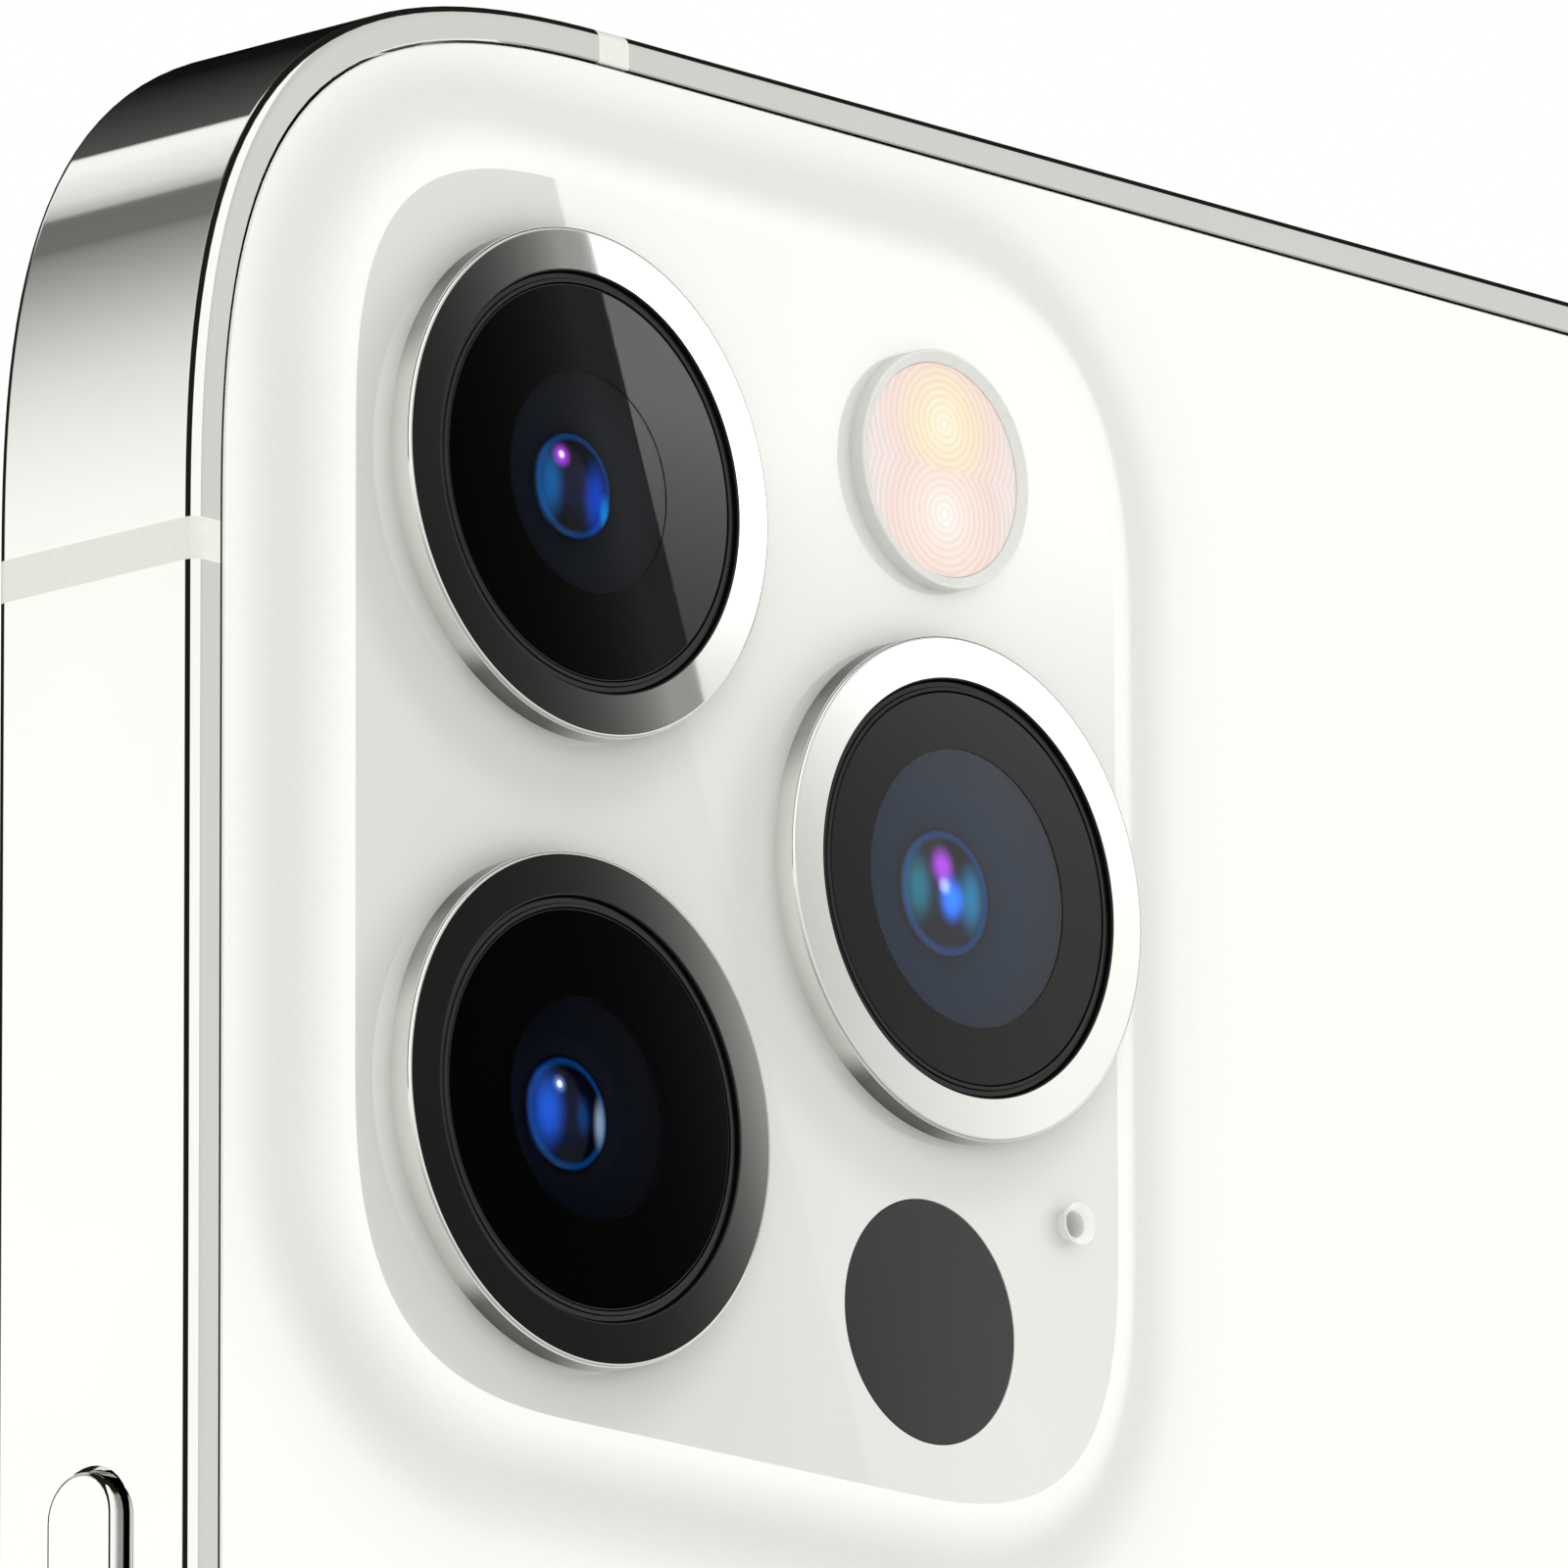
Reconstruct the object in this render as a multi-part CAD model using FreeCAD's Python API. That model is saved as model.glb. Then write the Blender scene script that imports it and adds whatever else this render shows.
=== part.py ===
import FreeCAD
import Part
import math
import os

V = FreeCAD.Vector

# Overall body, upright on its bottom edge: +Z up, -Y display, +Y rear, +X right seen from the front
WIDTH = 71.5
HEIGHT = 146.7
BODY_DEPTH = 7.4
PLATEAU_RISE = 1.0
RING_RISE = 0.7
REAR_Y = (BODY_DEPTH + PLATEAU_RISE + RING_RISE) / 2 - PLATEAU_RISE - RING_RISE
FRONT_Y = REAR_Y - BODY_DEPTH
MID_Y = (REAR_Y + FRONT_Y) / 2
PLATEAU_Y = REAR_Y + PLATEAU_RISE
RING_Y = PLATEAU_Y + RING_RISE
HALF_W = WIDTH / 2

# Continuous-curvature corner: length along each edge, and the two pole fractions
CORNER = 16.8
POLE_A = 0.30
POLE_B = 0.7726
DIAGONAL = (16 - 10 * POLE_B - 5 * POLE_A) / 32
CORNER_SHRINK = (1 - math.sqrt(0.5)) / DIAGONAL

# Frame band
EDGE_ROUND = 0.4
LIP = 1.0
WALL = 2.0
GLASS_GAP = 0.08
BACK_GLASS = 0.8
BACK_SEAT_Y = REAR_Y - BACK_GLASS
FRONT_SEAT_Y = FRONT_Y + 1.2
BAND_WIDTH = 1.15
BAND_DEPTH = 1.2
SIDE_BAND = 16.9
END_BAND = 15.9

# Camera plateau, measured from the +X side and from the top
PLATEAU_X = HALF_W - 19.75
PLATEAU_Z = HEIGHT - 21.8
PLATEAU_W = 29.5
PLATEAU_H = 33.7
PLATEAU_CORNER = 8.5
PLATEAU_BLEND = 2.4
BLEND_STEPS = 12

# Cameras: name, distance from the +X side, distance from the top, lens radius, lens top below the ring
CAMERAS = [
    ("upper", 13.2, 13.3, 1.48, 1.0),
    ("lower", 13.2, 30.35, 1.56, 1.5),
    ("side", 27.9, 21.85, 1.78, 1.5),
]
RING_R = 6.90
RING_FACE_R = 6.80
RING_BORE_R = 5.70
RING_BEVEL = 0.10
SLEEVE_R = 6.25
SLEEVE_Y = 1.7
COVER_R = 5.35
COVER_TOP_Y = RING_Y - 0.08
COVER_T = 0.40
HOUSING = 12.6
HOUSING_FRONT_Y = -2.45
HOUSING_REAR_Y = 1.4
NECK_R = 5.5
NECK_Y = 3.9
BARREL_R = 4.5
BARREL_BORE_R = 4.6
BARREL_Y0 = -1.6
BARREL_Y1 = 3.55

# Flash, range sensor and rear microphone
FLASH_X = HALF_W - 27.3
FLASH_Z = HEIGHT - 10.28
FLASH_R = 3.30
FLASH_LENS_R = 2.95
FLASH_TOP_Y = PLATEAU_Y + 0.5
RANGE_X = HALF_W - 27.0
RANGE_Z = HEIGHT - 33.82
RANGE_R = 3.32
MIC_X = HALF_W - 32.5
MIC_Z = HEIGHT - 30.3
MIC_NECK_R = 0.42
MIC_MOUTH_R = 0.60
MIC_BORE_R = 0.36
MIC_TOP_Y = PLATEAU_Y + 0.46

# Side controls
KEY_WIDTH = 2.44
KEY_GAP = 0.12
KEY_PROUD = 0.44
KEY_BEVEL = 0.1
KEY_FLANGE_W = 3.2
KEY_POCKET_W = 3.6
SIDE_KEY_LENGTH = 16.4
SIDE_KEY_Z = HEIGHT - 41.4 - SIDE_KEY_LENGTH / 2
VOLUME_LENGTH = 9.2
VOLUME_UP_Z = HEIGHT - 41.9
VOLUME_DOWN_Z = HEIGHT - 54.7
SWITCH_Z = HEIGHT - 27.5
SWITCH_LENGTH = 5.6
SWITCH_TRAVEL = 0.9
SWITCH_WIDTH = KEY_WIDTH - SWITCH_TRAVEL
TRAY_Z = 60.0
TRAY_PLATE = 12.5
TRAY_WIDTH = 10.4
TRAY_LENGTH = 13.6
TRAY_T = 1.0
CARD_W = 8.9
CARD_L = 12.4

# Bottom edge
PORT_W = 8.3
PORT_T = 2.75
PORT_SHELL = 0.3
PORT_DEPTH = 7.2
HOLE_R = 0.72
HOLE_PITCH = 2.05
HOLE_START = 10.6
HOLE_END = 21.75
SPEAKER_HOLES = 6
MIC_HOLES = 3
SCREW_X = 6.95
SCREW_HEAD_R = 0.85
SCREW_SHAFT_R = 0.6

# Display
GLASS_T = 0.65
EAR_SLOT_W = 10.5
EAR_SLOT_T = 1.0
EAR_Z = HEIGHT - 4.0

# Inside
PLATE_Y = BACK_SEAT_Y - 0.6
BOARD_Y = 0.35
BOARD_T = 0.6
BOARD_X0 = -30.5
BOARD_X1 = -10.5
BOARD_Z0 = 44.0
BOARD_Z1 = 141.0
COIL_Z = 73.0
COIL_R0 = 11.5
COIL_R1 = 21.5
MAGNET_R0 = 23.2
MAGNET_R1 = 27.4
MAGNETS = 18
BATTERY = (-6.0, 33.0, 25.0, 105.0)
BATTERY_Y0 = -2.45
STAND_POINTS = [(-28.8, 46.2), (-13.4, 46.2), (-28.8, 86.0), (-12.4, 101.8), (-28.8, 139.0), (-12.4, 139.0)]


def box(x0, x1, y0, y1, z0, z1):
    return Part.makeBox(x1 - x0, y1 - y0, z1 - z0, V(x0, y0, z0))


def disc(cx, cz, r, y0, y1):
    return Part.makeCylinder(r, y1 - y0, V(cx, y0, cz), V(0, 1, 0))


def tube(cx, cz, r1, r0, y0, y1):
    return disc(cx, cz, r1, y0, y1).cut(disc(cx, cz, r0, y0 - 1, y1 + 1))


def turned(cx, cz, profile):
    """Solid of revolution about the +Y line through (cx, cz); profile is (radius, y) pairs."""
    points = [V(cx + r, y, cz) for r, y in profile]
    face = Part.Face(Part.makePolygon(points + [points[0]]))
    return face.revolve(V(cx, 0, cz), V(0, 1, 0), 360)


def rounded_wire(cx, cz, w, h, corner, y):
    """Closed outline with continuous-curvature corners in the plane y."""
    a = corner * (1 - POLE_A)
    b = corner * (1 - POLE_B)
    local = [(0, corner), (0, a), (0, b), (b, 0), (a, 0), (corner, 0)]
    x, z = w / 2, h / 2
    edges = []
    last = None
    first = None
    for sx, sz, flip in ((1, 1, False), (1, -1, True), (-1, -1, False), (-1, 1, True)):
        # the first corner runs from the top edge to the +X edge, and so on round
        poles = [V(cx + sx * (x - u), y, cz + sz * (z - v)) for u, v in local]
        if not flip:
            poles.reverse()
        if last is not None:
            edges.append(Part.makeLine(last, poles[0]))
        curve = Part.BezierCurve()
        curve.setPoles(poles)
        edges.append(curve.toShape())
        first = first or poles[0]
        last = poles[-1]
    edges.append(Part.makeLine(last, first))
    return Part.Wire(edges)


def slab(inset, y0, y1):
    """The body outline moved in by inset, from y0 to y1."""
    wire = rounded_wire(0, HEIGHT / 2, WIDTH - 2 * inset, HEIGHT - 2 * inset,
                        CORNER - inset * CORNER_SHRINK, y0)
    return Part.Face(wire).extrude(V(0, y1 - y0, 0))


def pill(length, width, x0, x1, z):
    """Stadium in the side face, long way up, centred on mid thickness."""
    r = width / 2
    half = length / 2 - r
    core = box(x0, x1, MID_Y - r, MID_Y + r, z - half, z + half)
    for s in (-1, 1):
        core = core.fuse(Part.makeCylinder(r, x1 - x0, V(x0, MID_Y, z + s * half), V(1, 0, 0)))
    return core.removeSplitter()


def bottom_pill(length, width, z0, z1):
    r = width / 2
    half = length / 2 - r
    core = box(-half, half, MID_Y - r, MID_Y + r, z0, z1)
    for s in (-1, 1):
        core = core.fuse(Part.makeCylinder(r, z1 - z0, V(s * half, MID_Y, z0)))
    return core.removeSplitter()


def mirror_x(shape):
    return shape.mirror(V(0, 0, 0), V(1, 0, 0))


def rounded_box(x0, x1, y0, y1, z0, z1, r):
    solid = box(x0, x1, y0, y1, z0, z1)
    upright = [e for e in solid.Edges if abs(e.Vertexes[0].Y - e.Vertexes[-1].Y) > 1e-6]
    return solid.makeFillet(r, upright)


def end_edges(solid, coordinate, value):
    found = []
    for e in solid.Edges:
        box_of = e.BoundBox
        low = getattr(box_of, coordinate + "Min")
        high = getattr(box_of, coordinate + "Max")
        if abs(low - value) < 1e-5 and abs(high - value) < 1e-5:
            found.append(e)
    return found


def band_boxes():
    half = BAND_WIDTH / 2
    deep_x = HALF_W - BAND_DEPTH
    deep_z = BAND_DEPTH
    boxes = []
    for z in (HEIGHT - SIDE_BAND, SIDE_BAND):
        boxes.append(box(deep_x, HALF_W + 1, -9, 9, z - half, z + half))
        boxes.append(box(-HALF_W - 1, -deep_x, -9, 9, z - half, z + half))
    x = HALF_W - END_BAND
    boxes.append(box(x - half, x + half, -9, 9, HEIGHT - deep_z, HEIGHT + 1))
    boxes.append(box(-x - half, -x + half, -9, 9, -1, deep_z))
    return boxes


def frame_blank():
    solid = slab(0, FRONT_Y, REAR_Y)
    loops = end_edges(solid, "Y", FRONT_Y) + end_edges(solid, "Y", REAR_Y)
    solid = solid.makeFillet(EDGE_ROUND, loops)
    solid = solid.cut(slab(LIP, BACK_SEAT_Y, REAR_Y + 1))
    solid = solid.cut(slab(LIP, FRONT_Y - 1, FRONT_SEAT_Y))
    return solid.cut(slab(WALL, FRONT_Y - 1, REAR_Y + 1))


def key_opening(length, z):
    """Slot for a pressed key on the +X side, with the wider pocket for its flange behind."""
    slot = pill(length + 2 * KEY_GAP, KEY_WIDTH + 2 * KEY_GAP, 34.5, HALF_W + 1, z)
    pocket = pill(length + 2.6, KEY_POCKET_W, 33.0, 34.5, z)
    return slot.fuse(pocket)


def key(length, z):
    cap = pill(length, KEY_WIDTH, 34.1, HALF_W + KEY_PROUD, z)
    cap = cap.makeChamfer(KEY_BEVEL, end_edges(cap, "X", HALF_W + KEY_PROUD))
    flange = pill(length + 2.0, KEY_FLANGE_W, 34.1, 34.44, z)
    return cap.fuse(flange)


def frame_band():
    solid = frame_blank()
    for cutter in band_boxes():
        solid = solid.cut(cutter)
    solid = solid.cut(key_opening(SIDE_KEY_LENGTH, SIDE_KEY_Z))
    for z in (VOLUME_UP_Z, VOLUME_DOWN_Z):
        solid = solid.cut(mirror_x(key_opening(VOLUME_LENGTH, z)))
    switch = pill(SWITCH_LENGTH, KEY_WIDTH, 33.0, HALF_W + 1, SWITCH_Z)
    solid = solid.cut(mirror_x(switch))
    plate = pill(TRAY_PLATE + 0.12, KEY_WIDTH + 0.12, 34.5, HALF_W + 1, TRAY_Z)
    solid = solid.cut(mirror_x(plate))
    solid = solid.cut(box(-34.6, -33.0, MID_Y - 0.62, MID_Y + 0.62, TRAY_Z - 5.35, TRAY_Z + 5.35))
    solid = solid.cut(bottom_pill(PORT_W + 2 * PORT_SHELL, PORT_T + 2 * PORT_SHELL, -1, 3))
    for i in range(SPEAKER_HOLES):
        x = HOLE_START + i * HOLE_PITCH
        solid = solid.cut(Part.makeCylinder(HOLE_R, 4, V(x, MID_Y, -1)))
    for i in range(MIC_HOLES):
        x = -HOLE_START - i * HOLE_PITCH
        solid = solid.cut(Part.makeCylinder(HOLE_R, 4, V(x, MID_Y, -1)))
    for s in (-1, 1):
        solid = solid.cut(Part.makeCylinder(SCREW_HEAD_R + 0.08, 1.1, V(s * SCREW_X, MID_Y, -0.1)))
        solid = solid.cut(Part.makeCylinder(SCREW_SHAFT_R, 4, V(s * SCREW_X, MID_Y, -1)))
    return solid


def antenna_bands():
    blank = frame_blank()
    pieces = [blank.common(b) for b in band_boxes()]
    return Part.makeCompound(pieces)


def plateau():
    wires = []
    for i in range(BLEND_STEPS + 1):
        t = i / BLEND_STEPS
        fall = t * t * t * (10 - 15 * t + 6 * t * t)
        grow = 2 * PLATEAU_BLEND * t
        corner = PLATEAU_CORNER + PLATEAU_BLEND * t * CORNER_SHRINK
        wires.append(rounded_wire(PLATEAU_X, PLATEAU_Z, PLATEAU_W + grow, PLATEAU_H + grow,
                                  corner, PLATEAU_Y - PLATEAU_RISE * fall))
    wires.append(rounded_wire(PLATEAU_X, PLATEAU_Z, PLATEAU_W + grow, PLATEAU_H + grow,
                              corner, REAR_Y - 0.3))
    return Part.makeLoft(wires, True, True)


def back_glass():
    solid = slab(LIP + GLASS_GAP, BACK_SEAT_Y, REAR_Y).fuse(plateau())
    low = BACK_SEAT_Y - 1
    high = PLATEAU_Y + 1
    for name, dx, dz, lens_r, depth in CAMERAS:
        solid = solid.cut(disc(HALF_W - dx, HEIGHT - dz, SLEEVE_R, low, high))
    solid = solid.cut(disc(FLASH_X, FLASH_Z, FLASH_R, low, high))
    solid = solid.cut(disc(RANGE_X, RANGE_Z, RANGE_R, low, high))
    return solid.cut(disc(MIC_X, MIC_Z, MIC_NECK_R, low, high))


def mid_plate():
    solid = slab(WALL, PLATE_Y, BACK_SEAT_Y)
    solid = solid.cut(rounded_box(0.8, 31.2, PLATE_Y - 1, BACK_SEAT_Y + 1, 108.6, 142.4, 3))
    solid = solid.cut(disc(0, COIL_Z, MAGNET_R1 + 0.5, PLATE_Y - 1, BACK_SEAT_Y + 1))
    solid = solid.cut(box(-1.8, 1.8, PLATE_Y - 1, BACK_SEAT_Y + 1, COIL_Z - 42.4, COIL_Z - 27))
    for x, z in STAND_POINTS:
        solid = solid.fuse(disc(x, z, 1.3, BOARD_Y + BOARD_T, PLATE_Y))
        solid = solid.cut(disc(x, z, 0.55, BOARD_Y, BACK_SEAT_Y + 1))
    return solid


def lens_ring(x, z):
    top = RING_Y
    return turned(x, z, [
        (RING_BORE_R, SLEEVE_Y), (SLEEVE_R, SLEEVE_Y), (SLEEVE_R, PLATEAU_Y), (RING_R, PLATEAU_Y),
        (RING_R, top - RING_BEVEL), (RING_FACE_R, top), (RING_BORE_R + 0.06, top),
        (RING_BORE_R, top - 0.06)])


def lens_gasket(x, z):
    return turned(x, z, [
        (NECK_R, 3.5), (RING_BORE_R, 3.5), (RING_BORE_R, COVER_TOP_Y - 0.06),
        (COVER_R + 0.10, COVER_TOP_Y + 0.02), (COVER_R, COVER_TOP_Y + 0.02), (COVER_R, NECK_Y),
        (NECK_R, NECK_Y)])


def cover_glass(x, z):
    return disc(x, z, COVER_R, COVER_TOP_Y - COVER_T, COVER_TOP_Y)


def camera_housing(x, z):
    half = HOUSING / 2
    body = rounded_box(x - half, x + half, HOUSING_FRONT_Y, HOUSING_REAR_Y, z - half, z + half, 0.8)
    neck = disc(x, z, NECK_R, HOUSING_REAR_Y - 0.1, NECK_Y)
    return body.fuse(neck).cut(disc(x, z, BARREL_BORE_R, BARREL_Y0 - 0.1, NECK_Y + 1))


def lens_barrel(x, z, lens_r, depth):
    seat = RING_Y - depth - 0.45
    return turned(x, z, [
        (0.9, BARREL_Y0), (BARREL_R, BARREL_Y0), (BARREL_R, BARREL_Y1), (BARREL_R - 0.4, BARREL_Y1),
        (lens_r + 0.5, seat + 0.30), (lens_r, seat + 0.15), (lens_r, seat - 0.6), (0.9, seat - 0.6)])


def lens_element(x, z, lens_r, depth):
    """Front element: a domed disc seated in the barrel."""
    top = RING_Y - depth
    base = top - 0.75
    rise = 0.55
    ball_r = (lens_r * lens_r + rise * rise) / (2 * rise)
    ball = Part.makeSphere(ball_r, V(x, top - ball_r, z))
    return disc(x, z, lens_r, base, top + 0.1).common(ball)


def camera_bracket():
    solid = rounded_box(0.9, 31.0, HOUSING_FRONT_Y - 0.2, HOUSING_FRONT_Y, 109.4, 139.9, 2)
    solid = solid.cut(rounded_box(2.0, 15.0, -5, 0, 110.6, 117.6, 1))
    return solid.cut(rounded_box(2.0, 15.0, -5, 0, 132.2, 139.4, 1))


def flash_rim():
    return turned(FLASH_X, FLASH_Z, [
        (FLASH_LENS_R, 2.3), (FLASH_R, 2.3), (FLASH_R, FLASH_TOP_Y - 0.06),
        (FLASH_R - 0.06, FLASH_TOP_Y), (FLASH_LENS_R + 0.1, FLASH_TOP_Y),
        (FLASH_LENS_R, FLASH_TOP_Y - 0.12)])


def flash_lens():
    solid = disc(FLASH_X, FLASH_Z, FLASH_LENS_R, FLASH_TOP_Y - 0.8, FLASH_TOP_Y - 0.14)
    for s in (-1, 1):
        for i in range(5):
            r = 0.3 + 0.24 * i
            groove = tube(FLASH_X, FLASH_Z + s * 1.3, r + 0.05, r, FLASH_TOP_Y - 0.8, FLASH_TOP_Y - 0.76)
            solid = solid.cut(groove)
    return solid


def flash_leds():
    base = disc(FLASH_X, FLASH_Z, FLASH_LENS_R, 2.3, 2.7)
    for s in (-1, 1):
        z = FLASH_Z + s * 1.2
        base = base.fuse(box(FLASH_X - 0.8, FLASH_X + 0.8, 2.65, 3.05, z - 0.8, z + 0.8))
    return base


def range_module():
    solid = rounded_box(RANGE_X - 3.5, RANGE_X + 3.5, -0.6, 1.9, RANGE_Z - 3.2, RANGE_Z + 3.2, 0.5)
    for s in (-1, 1):
        solid = solid.fuse(disc(RANGE_X, RANGE_Z + s * 1.5, 1.2, 1.8, 2.9))
    return solid


def rear_mic_tube():
    top = MIC_TOP_Y
    return turned(MIC_X, MIC_Z, [
        (MIC_BORE_R, 1.3), (MIC_NECK_R, 1.3), (MIC_NECK_R, top - 0.18), (MIC_MOUTH_R, top - 0.03),
        (MIC_MOUTH_R, top), (MIC_MOUTH_R - 0.03, top), (MIC_BORE_R, top - 0.2)])


def rear_mic_module():
    return box(MIC_X - 1.6, MIC_X + 1.2, 0.4, 1.3, MIC_Z - 2.0, MIC_Z + 2.0)


def key_switch(length, centres, lo, hi):
    """Bracket behind one or more +X side keys, with a dome switch under each."""
    solid = box(33.0, 33.3, MID_Y - 1.5, MID_Y + 1.5, lo, hi)
    for z0, z1 in ((lo, lo + 0.9), (hi - 0.9, hi)):
        solid = solid.fuse(box(33.2, HALF_W - WALL, MID_Y - 1.5, MID_Y + 1.5, z0, z1))
    for z in centres:
        solid = solid.fuse(Part.makeCylinder(1.2, 0.6, V(33.2, MID_Y, z), V(1, 0, 0)))
    return solid


def ring_switch():
    y0 = MID_Y - KEY_WIDTH / 2 + 0.05
    z0 = SWITCH_Z - SWITCH_LENGTH / 2 + 0.9
    z1 = SWITCH_Z + SWITCH_LENGTH / 2 - 0.9
    wide = SWITCH_WIDTH - 0.1
    solid = box(-HALF_W - 0.3, -34.0, y0, y0 + wide, z0, z1)
    tops = end_edges(solid, "X", -HALF_W - 0.3)
    solid = solid.makeChamfer(0.15, tops)
    return solid.fuse(box(-34.1, -33.2, y0 + 0.3, y0 + wide - 0.3, z0 + 0.8, z1 - 0.8))


def ring_switch_base():
    solid = box(-33.75, -31.0, MID_Y - 1.85, MID_Y + 2.1, SWITCH_Z - 4, SWITCH_Z + 4)
    return solid.cut(box(-34.5, -33.0, MID_Y - 1.3, MID_Y + 1.3, SWITCH_Z - 2.6, SWITCH_Z + 2.6))


def sim_tray():
    solid = mirror_x(pill(TRAY_PLATE, KEY_WIDTH, 34.55, HALF_W, TRAY_Z))
    half = TRAY_WIDTH / 2
    x1 = -34.6 + TRAY_LENGTH + 0.5
    carrier = box(-34.6, x1, MID_Y - TRAY_T / 2, MID_Y + TRAY_T / 2, TRAY_Z - half, TRAY_Z + half)
    card = box(-33.7, -33.7 + CARD_L, MID_Y - 0.3, MID_Y + 1, TRAY_Z - CARD_W / 2, TRAY_Z + CARD_W / 2)
    window = box(-32.7, -32.7 + CARD_L - 2, MID_Y - 1, MID_Y, TRAY_Z - 3.4, TRAY_Z + 3.4)
    carrier = carrier.cut(card).cut(window)
    solid = solid.fuse(carrier)
    hole = Part.makeCylinder(0.42, 3, V(-HALF_W - 1, MID_Y, TRAY_Z + 5.0 - 0.2), V(1, 0, 0))
    return solid.cut(hole)


def sim_reader():
    half = TRAY_WIDTH / 2 + 1.2
    solid = box(-33.6, -18.5, MID_Y - 0.85, BOARD_Y, TRAY_Z - half, TRAY_Z + half)
    inner = box(-34.5, -20.3, MID_Y - 0.62, MID_Y + 0.62, TRAY_Z - 5.35, TRAY_Z + 5.35)
    return solid.cut(inner)


def display_glass():
    solid = slab(LIP + GLASS_GAP, FRONT_Y, FRONT_Y + GLASS_T)
    slot = rounded_box(-EAR_SLOT_W / 2, EAR_SLOT_W / 2, FRONT_Y - 1, FRONT_Y + 2,
                       EAR_Z - EAR_SLOT_T / 2, EAR_Z + EAR_SLOT_T / 2, EAR_SLOT_T * 0.49)
    return solid.cut(slot)


def display_gasket():
    y0 = FRONT_Y + GLASS_T
    return slab(LIP + GLASS_GAP, y0, FRONT_SEAT_Y).cut(slab(2.3, y0 - 1, FRONT_SEAT_Y + 1))


def display_panel():
    y0 = FRONT_Y + GLASS_T
    solid = slab(2.5, y0, y0 + 1.1)
    return solid.cut(rounded_box(-17.5, 17.5, y0 - 1, y0 + 2, HEIGHT - 7.2, HEIGHT + 1, 1.5))


def earpiece_mesh():
    y0 = FRONT_Y + 0.1
    half_w = EAR_SLOT_W / 2 - 0.03
    half_t = EAR_SLOT_T / 2 - 0.03
    solid = rounded_box(-half_w, half_w, y0, y0 + 0.5, EAR_Z - half_t, EAR_Z + half_t, half_t * 0.98)
    for i in range(-7, 8):
        solid = solid.cut(box(i * 0.65 - 0.16, i * 0.65 + 0.16, y0 - 0.1, y0 + 0.3, EAR_Z - 0.3, EAR_Z + 0.3))
    return solid


def front_sensors():
    """Infrared camera and flood lamp on the -X side of the earpiece, dot projector on the other."""
    y0 = FRONT_Y + GLASS_T
    solid = rounded_box(-16.8, -8.6, y0 + 0.05, -1.2, EAR_Z - 2.4, EAR_Z + 1.6, 0.6)
    for x in (-14.4, -10.6):
        solid = solid.cut(disc(x, EAR_Z, 1.3, y0 - 1, y0 + 0.6))
    return solid


def front_camera():
    y0 = FRONT_Y + GLASS_T
    body = rounded_box(9.0, 14.4, y0 + 0.9, 0.8, EAR_Z - 2.5, EAR_Z + 1.9, 0.6)
    nose = turned(11.7, EAR_Z - 0.2, [
        (0, y0 + 0.35), (0.9, y0 + 0.1), (1.9, y0 + 0.05), (1.9, y0 + 1.0), (0, y0 + 1.0)])
    return body.fuse(nose)


def earpiece_speaker():
    y0 = FRONT_Y + 0.6
    spout = box(-5.0, 5.0, y0 + 0.05, -1.9, EAR_Z - 0.5, EAR_Z + 0.5)
    body = rounded_box(-7.6, 7.6, -2.3, 0.6, EAR_Z - 5.2, EAR_Z + 1.4, 0.8)
    return body.fuse(spout)


def battery():
    x0, x1, z0, z1 = BATTERY
    return rounded_box(x0, x1, BATTERY_Y0, PLATE_Y, z0, z1, 1.6)


def logic_board():
    solid = rounded_box(BOARD_X0, BOARD_X1, BOARD_Y, BOARD_Y + BOARD_T, BOARD_Z0, BOARD_Z1, 1.2)
    for x, z in STAND_POINTS:
        solid = solid.cut(disc(x, z, 0.55, BOARD_Y - 1, BOARD_Y + 3))
    return solid


def shield_can(x0, x1, z0, z1, y0, y1, open_side):
    wall = 0.15
    can = rounded_box(x0, x1, y0, y1, z0, z1, 0.5)
    if open_side > 0:
        inner = box(x0 + wall, x1 - wall, y0 + wall, y1 + 1, z0 + wall, z1 - wall)
    else:
        inner = box(x0 + wall, x1 - wall, y0 - 1, y1 - wall, z0 + wall, z1 - wall)
    return can.cut(inner)


def board_shields():
    low = BOARD_Y - 1.9
    cans = [
        shield_can(-29.6, -12.2, 71.0, 83.4, low, BOARD_Y, 1),
        shield_can(-26.6, -11.6, 103.6, 135.5, low, BOARD_Y, 1),
    ]
    return Part.makeCompound(cans)


def main_chip():
    return box(-25.8, -12.8, BOARD_Y - 1.2, BOARD_Y, 110.0, 123.0)


def board_screws():
    screws = []
    for x, z in STAND_POINTS:
        head = disc(x, z, 1.05, BOARD_Y - 0.5, BOARD_Y)
        cross = box(x - 0.6, x + 0.6, BOARD_Y - 0.6, BOARD_Y - 0.3, z - 0.13, z + 0.13)
        cross = cross.fuse(box(x - 0.13, x + 0.13, BOARD_Y - 0.6, BOARD_Y - 0.3, z - 0.6, z + 0.6))
        screws.append(head.cut(cross).fuse(disc(x, z, 0.5, BOARD_Y - 0.1, BACK_SEAT_Y - 0.1)))
    return Part.makeCompound(screws)


def wireless_coil():
    coil = tube(0, COIL_Z, COIL_R1, COIL_R0, BACK_SEAT_Y - 0.4, BACK_SEAT_Y)
    turns = 6
    pitch = (COIL_R1 - COIL_R0) / turns
    for i in range(1, turns):
        r = COIL_R0 + i * pitch
        coil = coil.cut(tube(0, COIL_Z, r + 0.1, r - 0.1, BACK_SEAT_Y - 0.5, BACK_SEAT_Y - 0.2))
    return coil


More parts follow.
